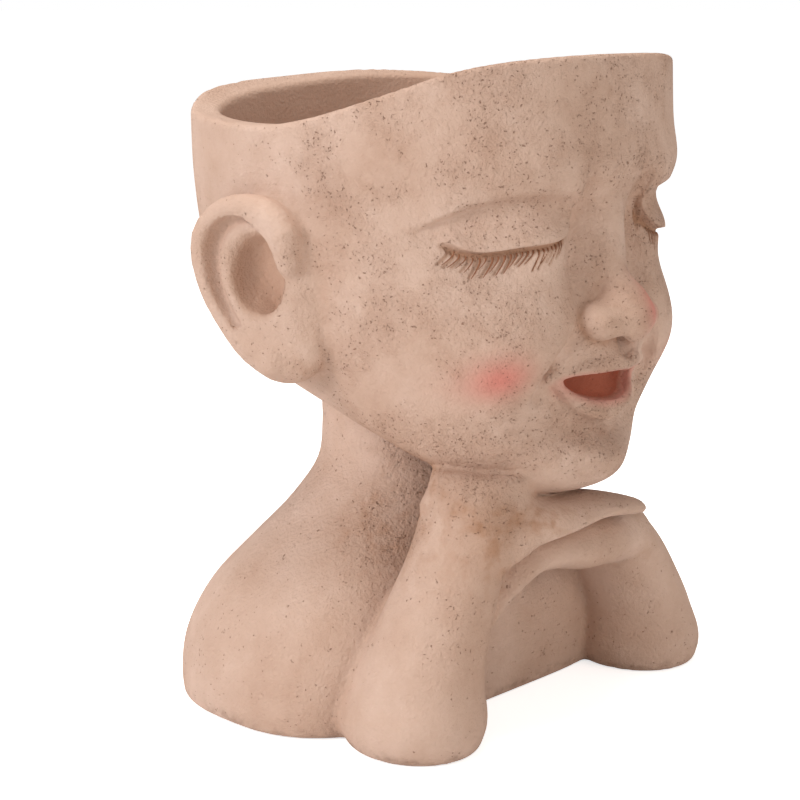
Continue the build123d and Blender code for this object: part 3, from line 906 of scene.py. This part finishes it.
def lash_tree():
    """Geometry Nodes tree: lashes as flat blades along a line in the XZ plane, in metres."""
    tree = bpy.data.node_groups.new("lashes_along_lid", "GeometryNodeTree")
    for name, kind in LASH_INPUTS:
        tree.interface.new_socket(name, in_out="INPUT", socket_type=kind)
    tree.interface.new_socket("Lashes", in_out="OUTPUT", socket_type="NodeSocketGeometry")
    given = add_node(tree, "NodeGroupInput", (-1200, 0)).outputs
    line = add_node(tree, "GeometryNodeMeshToCurve", (-1000, 200), {"Mesh": given["Line"]}).outputs[0]
    inputs = {"Curve": line, "Count": given["Count"]}
    points = add_node(tree, "GeometryNodeCurveToPoints", (-800, 200), inputs, mode="COUNT")
    # One lash: a gently bent line that hangs down, swept by a profile one unit wide to a tapering blade
    tip_drop = reckon(tree, "MULTIPLY", given["Length"], -1.0, (-1000, -300))
    bend_drop = reckon(tree, "MULTIPLY", given["Length"], -0.5, (-1000, -450))
    tip = add_node(tree, "ShaderNodeCombineXYZ", (-800, -300), {"Z": tip_drop}).outputs[0]
    inputs = {"X": given["Curl"], "Z": bend_drop}
    bend = add_node(tree, "ShaderNodeCombineXYZ", (-800, -450), inputs).outputs[0]
    inputs = {"Resolution": LASH_BENDS, "Start": (0, 0, 0), "Middle": bend, "End": tip}
    hair = add_node(tree, "GeometryNodeCurveQuadraticBezier", (-600, -200), inputs).outputs[0]
    along = add_node(tree, "GeometryNodeSplineParameter", (-600, -500)).outputs["Factor"]
    taper = remap(tree, along, (0.0, 1.0), (1.0, LASH_TIP_WIDTH), (-400, -500))
    width = reckon(tree, "MULTIPLY", taper, given["Width"], (-200, -500))
    inputs = {"Resolution": LASH_CORNERS, "Radius": 0.5}
    profile = add_node(tree, "GeometryNodeCurvePrimitiveCircle", (-400, -300), inputs).outputs[0]
    inputs = {"Curve": hair, "Profile Curve": profile, "Scale": width, "Fill Caps": True}
    blade = add_node(tree, "GeometryNodeCurveToMesh", (-200, -200), inputs).outputs[0]
    # Each lash leans further outwards towards the outer corner, and no two are of one length
    order = add_node(tree, "GeometryNodeInputIndex", (-800, 0)).outputs[0]
    share = reckon(tree, "DIVIDE", order, given["Count"], (-600, 0))
    lean = remap(tree, share, (0.0, 1.0), (given["Lean inner"], given["Lean outer"]), (-400, 0))
    stray = stray_value(tree, -LASH_LEAN_STRAY, LASH_LEAN_STRAY, given["Seed"], (-600, 400))
    turn = reckon(tree, "ADD", lean, stray, (-200, 0))
    spin = add_node(tree, "ShaderNodeCombineXYZ", (0, 0), {"Y": turn}).outputs[0]
    length_seed = reckon(tree, "ADD", given["Seed"], LENGTH_SEED_STEP, (-800, 600))
    uneven = stray_value(tree, LASH_SHORTEST, LASH_LONGEST, length_seed, (-600, 600))
    inputs = {"Points": points.outputs["Points"], "Instance": blade, "Rotation": spin, "Scale": uneven}
    lashes = add_node(tree, "GeometryNodeInstanceOnPoints", (200, 100), inputs).outputs[0]
    lashes = add_node(tree, "GeometryNodeRealizeInstances", (400, 100), {0: lashes}).outputs[0]
    inputs = {"Geometry": lashes, "Material": given["Wash"]}
    lashes = add_node(tree, "GeometryNodeSetMaterial", (600, 100), inputs).outputs[0]
    add_node(tree, "NodeGroupOutput", (800, 100), {0: lashes})
    return tree


def read_table(rows, name, width, kind=float):
    """A property of all points, corners or faces of a mesh as a table of that width."""
    values = np.zeros(len(rows) * width, kind)
    rows.foreach_get(name, values)
    return values.reshape(-1, width)


def add_object(name, data):
    """An object in the scene that holds a mesh, a light or a camera."""
    item = bpy.data.objects.new(name, data)
    bpy.context.scene.collection.objects.link(item)
    return item


def mesh_object(name, points, faces):
    """A mesh object of points and faces."""
    mesh = bpy.data.meshes.new(name)
    mesh.from_pydata([tuple(point) for point in points], [], [tuple(face) for face in faces])
    return add_object(name, mesh)


def lash_blades(side, tree, wash):
    """The lashes of one eye as a flat mesh in the XZ plane, before they are laid on the face."""
    line_steps = 40
    outs = np.linspace(LID_LINE[0][0] + LASH_INNER_GAP, LID_LINE[-1][0] - LASH_OUTER_GAP, line_steps)
    heights = line_height(LID_LINE, outs) - LASH_DROP
    line = bpy.data.meshes.new("lid_line")
    places = [(side * out * MM, 0, height * MM) for out, height in zip(outs, heights)]
    line.from_pydata(places, [(index, index + 1) for index in range(line_steps - 1)], [])
    piece = add_object("lid_line", line)
    modifier = piece.modifiers.new("lashes", "NODES")
    modifier.node_group = tree
    values = {
        "Count": LASH_COUNT,
        "Length": LASH_LENGTH * MM,
        "Width": LASH_WIDTH * MM,
        "Curl": -side * LASH_CURL * MM,
        "Lean inner": -side * LASH_LEAN_INNER,
        "Lean outer": -side * LASH_LEAN_OUTER,
        "Seed": RIGHT_LASH_SEED if side < 0 else LEFT_LASH_SEED,
        "Wash": wash,
    }
    for item in tree.interface.items_tree:
        if item.in_out == "INPUT" and item.name in values:
            modifier[item.identifier] = values[item.name]
    bpy.context.view_layer.update()
    evaluated = piece.evaluated_get(bpy.context.evaluated_depsgraph_get())
    blades = bpy.data.meshes.new_from_object(evaluated)
    bpy.data.objects.remove(piece)
    return blades


wash_material = bpy.data.materials.new("brown_wash")
lash_nodes = lash_tree()
lash_meshes = {}
for side, lash_name in ((-1, "right_lashes"), (1, "left_lashes")):
    blades = lash_blades(side, lash_nodes, wash_material)
    lash_meshes[lash_name] = (blades, read_table(blades.vertices, "co", 3) / MM)
lash_points = np.concatenate([flat for _, flat in lash_meshes.values()])
# How far a cut reaches past the points of its lash, and how wide its sloping side is
CUT_REACH = 0.45
CUT_SIDE = 0.36
CUT_STRETCH = 1.3


def lash_cut(points):
    """How deep the lashes are cut into the face at points: 1 in the middle of a lash, 0 beside it."""
    depth = np.zeros(len(points))
    x, y, z = points.T
    margin = 1.0
    low, high = lash_points[:, 2].min() - margin, lash_points[:, 2].max() + margin
    inner = np.abs(lash_points[:, 0]).min() - margin
    in_front = -25.0
    near = (y < in_front) & (z > low) & (z < high) & (np.abs(x) > inner)
    index = np.nonzero(near)[0]
    batch = 4000
    for start in range(0, len(index), batch):
        part = index[start:start + batch]
        gap = points[part][:, None, :] - lash_points[None, :, :]
        reach = np.sqrt(gap[:, :, 0] ** 2 * CUT_STRETCH + gap[:, :, 2] ** 2).min(axis=1)
        depth[part] = np.clip((CUT_REACH - reach) / CUT_SIDE, 0, 1)
    return depth


# Members of the casting, cut from the one skin: each is a closed piece that stands for its solid.
# The face is drawn finer round the eyes, the nose and the mouth, where the tool marks are small.
# Fine zones of the face: low corner, high corner, and how many times the net is halved there.
FINE_ZONES = (
    ((-68, -100, 170), (-14, -24, 197), 2),
    ((14, -100, 170), (68, -24, 197), 2),
    ((-28, -100, 116), (28, -60, 170), 1),
)
# Depth of the outer side of the face, which keeps the fine net out of the pot
FINE_SKIN = 6.5
LASH_DEPTH = 0.5


def fine_edges(work, low, high):
    """Edges of the faces that lie in a zone, on the outer side of the face."""
    work.faces.ensure_lookup_table()
    middles = np.array([face.calc_center_median() for face in work.faces])
    within = ((middles > low) & (middles < high)).all(axis=1)
    outer_side = middles[:, 1] < face_front(middles[:, 0], middles[:, 2]) + FINE_SKIN
    chosen = set()
    for index in np.nonzero(within & outer_side)[0]:
        chosen.update(work.faces[index].edges)
    return list(chosen)


def draw_finer(mesh):
    """Halve the net of a mesh in the fine zones of the face."""
    work = bmesh.new()
    work.from_mesh(mesh)
    for low, high, times in FINE_ZONES:
        for _ in range(times):
            edges = fine_edges(work, low, high)
            bmesh.ops.subdivide_edges(work, edges=edges, cuts=1, use_grid_fill=True)
    work.to_mesh(mesh)
    work.free()


# Patches of stain and paint: place across, height, spread across and spread up
SHOULDER_STAIN = (-50.0, 74.0, 16.0, 20.0)
LID_ROOT_STAIN = (19.0, 198.0, 7.0, 9.0)
CHEEK_BLUSH = (48.0, 137.5, 7.6, 7.6)
NOSE_BLUSH = (6.0, 161.0, 6.0, 9.0)
NECK_PITS = (-48.0, 72.0, 22.0, 24.0)
# Where the jaw is stained: place and spread square to its edge, and across
JAW_STAIN = ((1.0, 4.0), (-36.0, 24.0))
# Where a lobe is stained: place and spread back, up and out, in the ear's own terms
LOBE_STAIN = ((3.0, 3.0), (8.0, 4.0), (-3.0, 5.0))
CREASE_WIDTH = 1.8
WING_WIDTH = 2.0
# Ranges over which a mark fades: where it is full, and where it is none
FACE_SIDE = (0.0, 10.0)
JAW_SIDE = (-20.0, 0.0)
SHOULDER_SIDE = (2.0, 12.0)
NOSE_SIDE = (-83.0, -79.0)
WING_TOP = (158.0, 166.0)
INSIDE_GAP = (1.0, 3.0)
EAR_PIT_GAP = (0.0, 2.4)
MOUTH_GAP = (0.33, 2.53)
LIP_GAP = (0.34, 3.74)
MOUTH_DEPTH = (3.5, 0.5)
STIPPLED_HEIGHT = (103.0, 78.0)
FOOT_HEIGHT = (1.35, 5.85)
# How dark each kind of stain and of painted shade is
CREASE_DARK = 0.35
JAW_DARK = 0.9
SHOULDER_DARK = 0.7
ROOT_DARK = 0.4
LOBE_DARK = 0.8
LID_DARK = 1.2
EAR_DARK = 0.6
WING_DARK = 0.8
NOSE_PINK = 0.9
# How much of the stippling each place has
LEAST_PITTING = 0.25
NECK_PITTING = 0.45
LIP_SMOOTHNESS = 0.8


def fade(value, full, none):
    """1 where a value is full or beyond, 0 where it is none or beyond, and a straight run between."""
    return np.clip((none - value) / (none - full), 0, 1)


def patch(across, height, patch_row):
    """1 in the middle of a patch, fading out over its spread."""
    middle, level, wide, tall = patch_row
    return bell(across, middle, wide) * bell(height, level, tall)


def surface_marks(points):
    """Marks of wash and paint at points: brown stain, painted shade, pink blush, red of the mouth, pits,
    smooth inside.
    """
    x, y, z = points.T
    out_from_middle = np.abs(x)
    front = fade(y, *FACE_SIDE)
    members = [np.broadcast_to(form, x.shape) for form in member_forms(x, y, z)]
    next_nearest = np.sort(np.stack(members), axis=0)[1]
    hollow = np.minimum(pot_hollow(x, y, z), np.minimum(shell_hollow(x, y, z), z))
    inside = fade(hollow, *INSIDE_GAP)
    outside = 1 - inside
    # Brown wash in the creases between members, under the jaw, on the shoulder, at the lids and the lobes
    crease = bell(np.maximum(next_nearest, 0), 0, CREASE_WIDTH) * outside
    jaw = bell(jaw_side(y, z), *JAW_STAIN[0]) * bell(x, *JAW_STAIN[1]) * fade(y, *JAW_SIDE)
    shoulder = patch(x, z, SHOULDER_STAIN) * fade(y, *SHOULDER_SIDE)
    root = patch(out_from_middle, z, LID_ROOT_STAIN) * front
    back, up, out = ear_axes(x, y, z)
    lobe = bell(back, *LOBE_STAIN[0]) * bell(up, *LOBE_STAIN[1]) * bell(out, *LOBE_STAIN[2])
    stain = CREASE_DARK * crease + JAW_DARK * jaw + SHOULDER_DARK * shoulder
    stain = stain + ROOT_DARK * root + LOBE_DARK * lobe
    # Painted shade, in the brown of the stains, under the lids, in the hollows of the ears and round the
    # wings of the nose
    lid = lid_shadow(out_from_middle, z) * front
    ear = fade(ear_pit(back, up, out), *EAR_PIT_GAP)
    wing = bell(np.abs(nose_form(x, y, z)) + np.abs(bare_head_form(x, y, z)), 0, WING_WIDTH) * front
    wing = wing * fade(z, *WING_TOP)
    shade = LID_DARK * lid + EAR_DARK * ear + WING_DARK * wing
    # Pink on the cheeks and beside the tip of the nose, red in the mouth, a tint on the lips
    nose = patch(x, z, NOSE_BLUSH) * fade(y, *NOSE_SIDE)
    blush = patch(out_from_middle, z, CHEEK_BLUSH) * front + NOSE_PINK * nose
    mouth_gap = mouth_form(x, y, z)
    sunk = fade(y - face_front(x, z), *MOUTH_DEPTH) * front
    mouth = fade(mouth_gap, *MOUTH_GAP) * sunk * outside
    tint = fade(mouth_gap, *LIP_GAP) * front * outside
    # Pits are dense on the face and thin out below it
    rough = LEAST_PITTING + (1 - LEAST_PITTING) * fade(z, *STIPPLED_HEIGHT) * front
    neck = NECK_PITTING * patch(x, z, NECK_PITS) * front
    return {
        "stain": np.clip(stain, 0, 1),
        "painted_shade": np.clip(shade, 0, 1) * outside,
        "lip_tint": tint * (1 - mouth),
        "blush": np.clip(blush, 0, 1) * outside,
        "mouth_red": mouth,
        "pitting": np.clip((rough + neck) * outside * (1 - LIP_SMOOTHNESS * tint), 0, 1),
        "inside": inside,
        "foot": fade(z, *FOOT_HEIGHT) * outside,
    }


def cut_member(name, number):
    """One member of the casting as a closed mesh, in metres, with its marks stored on its points."""
    mine_first = net_owners[:, 0] == number
    mine_second = net_owners[:, 1] == number
    faces = np.concatenate([net_faces[mine_first], net_faces[mine_second][:, ::-1]])
    open_face = np.concatenate([net_owners[mine_first, 1] == 0, net_owners[mine_second, 0] == 0])
    used, local = np.unique(faces, return_inverse=True)
    piece = mesh_object(name, corners[used], local.reshape(-1, 4))
    mesh = piece.data
    # The material index tells the open faces, 0, from the joins with other members, 1, until they are shaded
    mesh.polygons.foreach_set("material_index", np.where(open_face, 0, 1).astype(np.int32))
    if name == "head_bowl":
        draw_finer(mesh)
    points = read_table(mesh.vertices, "co", 3)
    loop_points = read_table(mesh.loops, "vertex_index", 1, np.int64)[:, 0]
    sizes = read_table(mesh.polygons, "loop_total", 1, np.int64)[:, 0]
    loop_open = np.repeat(read_table(mesh.polygons, "material_index", 1, np.int64)[:, 0] == 0, sizes)
    outside = np.zeros(len(points), bool)
    outside[loop_points[loop_open]] = True
    placed, facing = onto_form(points[outside], SETTLING_ROUNDS if name == "head_bowl" else 1)
    lashes = lash_cut(placed) if name == "head_bowl" else np.zeros(len(placed))
    if lashes.any():
        placed = placed - facing * (LASH_DEPTH * lashes)[:, None]
    points[outside] = placed
    mesh.vertices.foreach_set("co", (points * MM).ravel())
    mesh.polygons.foreach_set("use_smooth", np.ones(len(mesh.polygons), bool))
    marks = surface_marks(points)
    marks["lash"] = np.zeros(len(points))
    marks["lash"][outside] = lashes
    for mark, values in marks.items():
        layer = mesh.attributes.new(mark, "FLOAT", "POINT")
        layer.data.foreach_set("value", np.broadcast_to(values, (len(points),)).astype(np.float32))
    # Shading follows the exact form outside, the mesh in the lash grooves, and flat faces at the joins
    mesh.update()
    directions = np.zeros((len(points), 3))
    directions[outside] = facing
    least_cut = 0.01
    grooved = marks["lash"] > least_cut
    directions[grooved] = read_table(mesh.vertices, "normal", 3)[grooved]
    face_directions = np.repeat(read_table(mesh.polygons, "normal", 3), sizes, axis=0)
    loops = np.where(loop_open[:, None], directions[loop_points], face_directions)
    mesh.normals_split_custom_set([tuple(value) for value in loops])
    mesh.polygons.foreach_set("material_index", np.zeros(len(mesh.polygons), np.int32))
    mesh.update()
    return piece


member_pieces = {}
for number, member in enumerate(MEMBERS, start=1):
    piece = cut_member(member, number)
    piece.name = member + "_clay"
    member_pieces[member] = piece
    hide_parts(member)
    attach(piece, "casting")

for lash_name, (blades, flat) in lash_meshes.items():
    front = face_front(flat[:, 0], flat[:, 2])
    laid = flat.copy()
    laid[:, 1] = front + WASH_SINK + flat[:, 1] * WASH_THICKNESS
    blades.vertices.foreach_set("co", (laid * MM).ravel())
    blades.update()
    blades.name = lash_name
    piece = add_object(lash_name, blades)
    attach(piece, "casting")


# Finish of the clay: unglazed, pale flesh-coloured and matt, pitted where it was stippled.
# Brown wash has settled in the pits and the creases, and the cheeks and the nose are tinted pink. Shade is
# painted in brown under the lids, in the hollows of the ears and round the wings of the nose.
CLAY = (0.595, 0.408, 0.318, 1)
CLAY_WARM = (0.525, 0.345, 0.258, 1)
CLAY_PALE = (0.665, 0.480, 0.390, 1)
WASH_BROWN = (0.150, 0.072, 0.042, 1)
WASH_RED_BROWN = (0.280, 0.120, 0.064, 1)
PIT_BROWN = (0.270, 0.125, 0.070, 1)
RUBBED_BROWN = (0.480, 0.270, 0.180, 1)
# Brown of the stains, also used for the painted shade under the lids, in the ears and round the nose wings
STAIN_AND_SHADE_BROWN = (0.400, 0.205, 0.115, 1)
PINK = (0.640, 0.225, 0.180, 1)
MOUTH_RED = (0.400, 0.120, 0.070, 1)
CLAY_ROUGHNESS = 0.82
CLAY_SHINE = 0.25
WASH_ROUGHNESS = 0.85
WASH_SHINE = 0.2
WASH_PITS = 0.6
# Noises over the clay: scale, detail and roughness
PATCHES = (34.0, 6.0, 0.7)
CELL_WARP = (700.0, 2.0, 0.5)
GRAIN = (640.0, 4.0, 0.6)
CLOUDS = (26.0, 5.0, 0.6)
STREAKS = (190.0, 3.0, 0.5)
# Parts of a noise or a distance that are carried over to a mask
PATCH_RANGE = (0.42, 0.66)
PIT_RANGE = (0.16, 0.46)
CLOUD_RANGE = (0.32, 0.70)
STREAK_RANGE = (0.45, 0.75)
FULL_RANGE = (0.0, 1.0)
# Pits lie in uneven cells 0.8 mm apart, and in rough patches three cells in ten hold one
CELL_SCALE = 1250.0
CELL_BEND = (0.0024, 0.0024, 0.0024)
PIT_SHARE = 0.30
PIT_HEIGHT = -0.8
COARSENESS = (1.0, 2.8)
STAIN_THINNEST = 0.35
CLAY_DENT = 0.0007


def noise(tree, vector, kind, place):
    """A node of soft noise over a surface, of a scale, a detail and a roughness."""
    inputs = dict(zip(("Vector", "Scale", "Detail", "Roughness"), (vector, *kind)))
    return add_node(tree, "ShaderNodeTexNoise", place, inputs)


def pit_group():
    """Shader group: fine pits and grain, as a mask of the pits, a height and the rough patches."""
    group = bpy.data.node_groups.new("pits_and_grain", "ShaderNodeTree")
    group.interface.new_socket("Amount", in_out="INPUT", socket_type="NodeSocketFloat")
    for name in ("Pits", "Height", "Patches"):
        group.interface.new_socket(name, in_out="OUTPUT", socket_type="NodeSocketFloat")
    amount = add_node(group, "NodeGroupInput", (-1000, 0)).outputs["Amount"]
    place = add_node(group, "ShaderNodeTexCoord", (-1000, 300)).outputs["Object"]
    clouds = noise(group, place, PATCHES, (-800, 300)).outputs[0]
    dense = remap(group, clouds, PATCH_RANGE, FULL_RANGE, (-600, 300))
    patches = reckon(group, "MULTIPLY", dense, amount, (-400, 200))
    warp = noise(group, place, CELL_WARP, (-800, 600)).outputs["Color"]
    inputs = {0: warp, 1: CELL_BEND, 2: place}
    bent = add_node(group, "ShaderNodeVectorMath", (-600, 600), inputs, operation="MULTIPLY_ADD").outputs[0]
    inputs = {"Vector": bent, "Scale": CELL_SCALE}
    cell = add_node(group, "ShaderNodeTexVoronoi", (-400, 500), inputs, feature="F1")
    # A cell holds a pit where its own chance is high, and more of them do in rough patches
    chance = add_node(group, "ShaderNodeSeparateColor", (-200, 600), {0: cell.outputs["Color"]}).outputs[0]
    share = reckon(group, "MULTIPLY", patches, PIT_SHARE, (-200, 200))
    chosen = reckon(group, "LESS_THAN", chance, share, (0, 400))
    size = remap(group, cell.outputs["Distance"], PIT_RANGE, (1.0, 0.0), (0, 600))
    pits = reckon(group, "MULTIPLY", size, chosen, (200, 500))
    grain = noise(group, place, GRAIN, (-400, -100)).outputs[0]
    coarse = remap(group, patches, FULL_RANGE, COARSENESS, (-200, -100))
    fine = reckon(group, "MULTIPLY", grain, coarse, (0, -100))
    sunk = reckon(group, "MULTIPLY", pits, PIT_HEIGHT, (200, 200))
    height = reckon(group, "ADD", sunk, fine, (400, 100))
    add_node(group, "NodeGroupOutput", (600, 200), {"Pits": pits, "Height": height, "Patches": patches})
    return group


PITS = pit_group()


def mix_in(tree, below, color, mask, place):
    """A colour laid over another where the mask is high."""
    return add_node(tree, "ShaderNodeMix", place, {6: below, 7: color, 0: mask}, data_type="RGBA").outputs[2]


def matt(material, roughness, shine):
    """Make a material matt. Gives its node tree and its shader."""
    material.use_nodes = True
    shader = material.node_tree.nodes["Principled BSDF"]
    shader.inputs["Roughness"].default_value = roughness
    shader.inputs["Specular IOR Level"].default_value = shine
    return material.node_tree, shader


def dent(tree, shader, height, depth, place):
    """Dent a material by a height, as deep as that in metres."""
    normal = add_node(tree, "ShaderNodeBump", place, {"Strength": 1.0, "Distance": depth, "Height": height})
    tree.links.new(normal.outputs["Normal"], shader.inputs["Normal"])


clay = bpy.data.materials.new("cast_clay")
tree, shader = matt(clay, CLAY_ROUGHNESS, CLAY_SHINE)
marks = {}
for mark in ("stain", "painted_shade", "blush", "mouth_red", "lip_tint", "pitting", "inside", "foot", "lash"):
    spot = (-1600, 600 - 200 * len(marks))
    marks[mark] = add_node(tree, "ShaderNodeAttribute", spot, attribute_name=mark).outputs["Fac"]
place = add_node(tree, "ShaderNodeTexCoord", (-1800, 900)).outputs["Object"]
clouds = noise(tree, place, CLOUDS, (-1600, 1100)).outputs[0]
cloud_mask = remap(tree, clouds, CLOUD_RANGE, FULL_RANGE, (-1400, 1100))
streaks = noise(tree, place, STREAKS, (-1600, 1400)).outputs[0]
speckle = remap(tree, streaks, STREAK_RANGE, FULL_RANGE, (-1400, 1400))
broken = remap(tree, speckle, FULL_RANGE, (STAIN_THINNEST, 1.0), (-1200, 800))
pits = add_node(tree, "ShaderNodeGroup", (-1400, 300), node_tree=PITS)
tree.links.new(marks["pitting"], pits.inputs["Amount"])
foot_wash = reckon(tree, "MULTIPLY", marks["foot"], speckle, (-1200, -800), use_clamp=True)
# Layers from the bottom up: their colour, the mark that shows where they lie, and how thick they lie there
layers = (
    (CLAY, speckle, 0.6),
    (CLAY_WARM, marks["inside"], 0.35),
    (RUBBED_BROWN, pits.outputs["Patches"], 0.42),
    (PINK, marks["blush"], 0.95),
    (PINK, marks["lip_tint"], 0.55),
    (MOUTH_RED, marks["mouth_red"], 1.0),
    (STAIN_AND_SHADE_BROWN, marks["stain"], broken),
    # Painted shade under the lids, in the hollows of the ears and round the wings of the nose
    (STAIN_AND_SHADE_BROWN, marks["painted_shade"], 0.75),
    (STAIN_AND_SHADE_BROWN, marks["lash"], 0.5),
    (PIT_BROWN, pits.outputs["Pits"], 0.7),
    (WASH_BROWN, foot_wash, 0.9),
)
color = mix_in(tree, CLAY_PALE, CLAY_WARM, cloud_mask, (-1200, 1000))
for index, (layer, mark, thickness) in enumerate(layers):
    mask = reckon(tree, "MULTIPLY", mark, thickness, (-1000 + 160 * index, 600), use_clamp=True)
    color = mix_in(tree, color, layer, mask, (-1000 + 160 * index, 1000))
tree.links.new(color, shader.inputs["Base Color"])
dent(tree, shader, pits.outputs["Height"], CLAY_DENT, (-400, -200))
for piece in member_pieces.values():
    piece.data.materials.clear()
    piece.data.materials.append(clay)

tree, shader = matt(wash_material, WASH_ROUGHNESS, WASH_SHINE)
pits = add_node(tree, "ShaderNodeGroup", (-600, 0), {"Amount": WASH_PITS}, node_tree=PITS)
color = mix_in(tree, WASH_RED_BROWN, WASH_BROWN, pits.outputs["Pits"], (-300, 200))
tree.links.new(color, shader.inputs["Base Color"])


# Drain plug: a soft rubber plug in the floor of the neck, turned with a flange and a knob to pull.
# It is the carried-over solid with a dusty black finish.
RUBBER_BLACK = (0.022, 0.021, 0.020, 1)
DUST_GREY = (0.075, 0.068, 0.060, 1)
RUBBER_ROUGHNESS = 0.7
PLAIN_SHINE = 0.5
RUBBER_PITS = 0.3
RUBBER_DENT = 0.0001
rubber = bpy.data.materials.new("plug_rubber")
tree, shader = matt(rubber, RUBBER_ROUGHNESS, PLAIN_SHINE)
pits = add_node(tree, "ShaderNodeGroup", (-600, 0), {"Amount": RUBBER_PITS}, node_tree=PITS)
color = mix_in(tree, RUBBER_BLACK, DUST_GREY, pits.outputs["Height"], (-300, 200))
tree.links.new(color, shader.inputs["Base Color"])
dent(tree, shader, pits.outputs["Height"], RUBBER_DENT, (-300, -100))
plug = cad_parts["drain_plug"]
plug.data.materials.clear()
plug.data.materials.append(rubber)


# Studio: a pale floor that runs to the background, soft lights and the photograph's camera.
# The floor is lifted to white only where the camera looks at it, and keeps the object's shadow.
FLOOR_SIZE = 80.0
FLOOR_WHITE = (0.94, 0.94, 0.94, 1)
FLOOR_LIFT = 0.70
FLOOR_ROUGHNESS = 0.9
WHITE = (1, 1, 1, 1)
ROOM_LIGHT = 0.34
bpy.ops.mesh.primitive_plane_add(size=FLOOR_SIZE, location=(0, 0, 0))
floor = bpy.context.object
floor.name = "floor"
floor_material = bpy.data.materials.new("pale_floor")
tree, shader = matt(floor_material, FLOOR_ROUGHNESS, PLAIN_SHINE)
shader.inputs["Base Color"].default_value = FLOOR_WHITE
shader.inputs["Emission Color"].default_value = WHITE
seen = add_node(tree, "ShaderNodeLightPath", (-600, 0)).outputs["Is Camera Ray"]
tree.links.new(reckon(tree, "MULTIPLY", seen, FLOOR_LIFT, (-300, 0)), shader.inputs["Emission Strength"])
floor.data.materials.append(floor_material)

world = bpy.context.scene.world or bpy.data.worlds.new("studio")
bpy.context.scene.world = world
world.use_nodes = True
tree = world.node_tree
background = tree.nodes["Background"]
seen = add_node(tree, "ShaderNodeLightPath", (-600, 200)).outputs["Is Camera Ray"]
strength = remap(tree, seen, FULL_RANGE, (ROOM_LIGHT, 1.0), (-300, 200))
tree.links.new(strength, background.inputs["Strength"])
background.inputs["Color"].default_value = WHITE

OBJECT_MIDDLE = (0.0, 0.0, 0.13)
# Lights: name, place, size, power and colour
LIGHTS = (
    ("key", (-1.35, 0.35, 0.78), 0.7, 14.0, (1.0, 0.99, 0.99)),
    ("fill", (-0.1, -1.5, 0.7), 0.9, 6.2, (1.0, 0.92, 0.82)),
    ("top", (0.0, 0.1, 1.5), 0.7, 11.0, (1.0, 0.94, 0.87)),
)


def soft_light(name, place, size, power, color):
    """A square soft light that faces the middle of the object."""
    lamp = bpy.data.lights.new(name, "AREA")
    lamp.shape = "SQUARE"
    lamp.size = size
    lamp.energy = power
    lamp.color = color
    holder = add_object(name, lamp)
    holder.location = place
    aim = np.array(OBJECT_MIDDLE) - np.array(place)
    aim = aim / np.linalg.norm(aim)
    level = math.hypot(aim[0], aim[1])
    holder.rotation_euler = (math.pi / 2 + math.atan2(aim[2], level), 0, math.atan2(-aim[0], aim[1]))


for light in LIGHTS:
    soft_light(*light)

CAMERA_PLACE = (-0.530, -0.483, 0.268)
CAMERA_DROP = math.radians(12.2)
CAMERA_TURN = math.radians(-46.0)
SENSOR_WIDTH = 36.0
LENS = 83.25
camera_data = bpy.data.cameras.new("camera")
camera_data.sensor_width = SENSOR_WIDTH
camera_data.lens = LENS
camera = add_object("camera", camera_data)
camera.location = CAMERA_PLACE
camera.rotation_euler = (math.pi / 2 - CAMERA_DROP, 0, CAMERA_TURN)
bpy.context.scene.camera = camera
bpy.context.scene.view_settings.view_transform = "Standard"
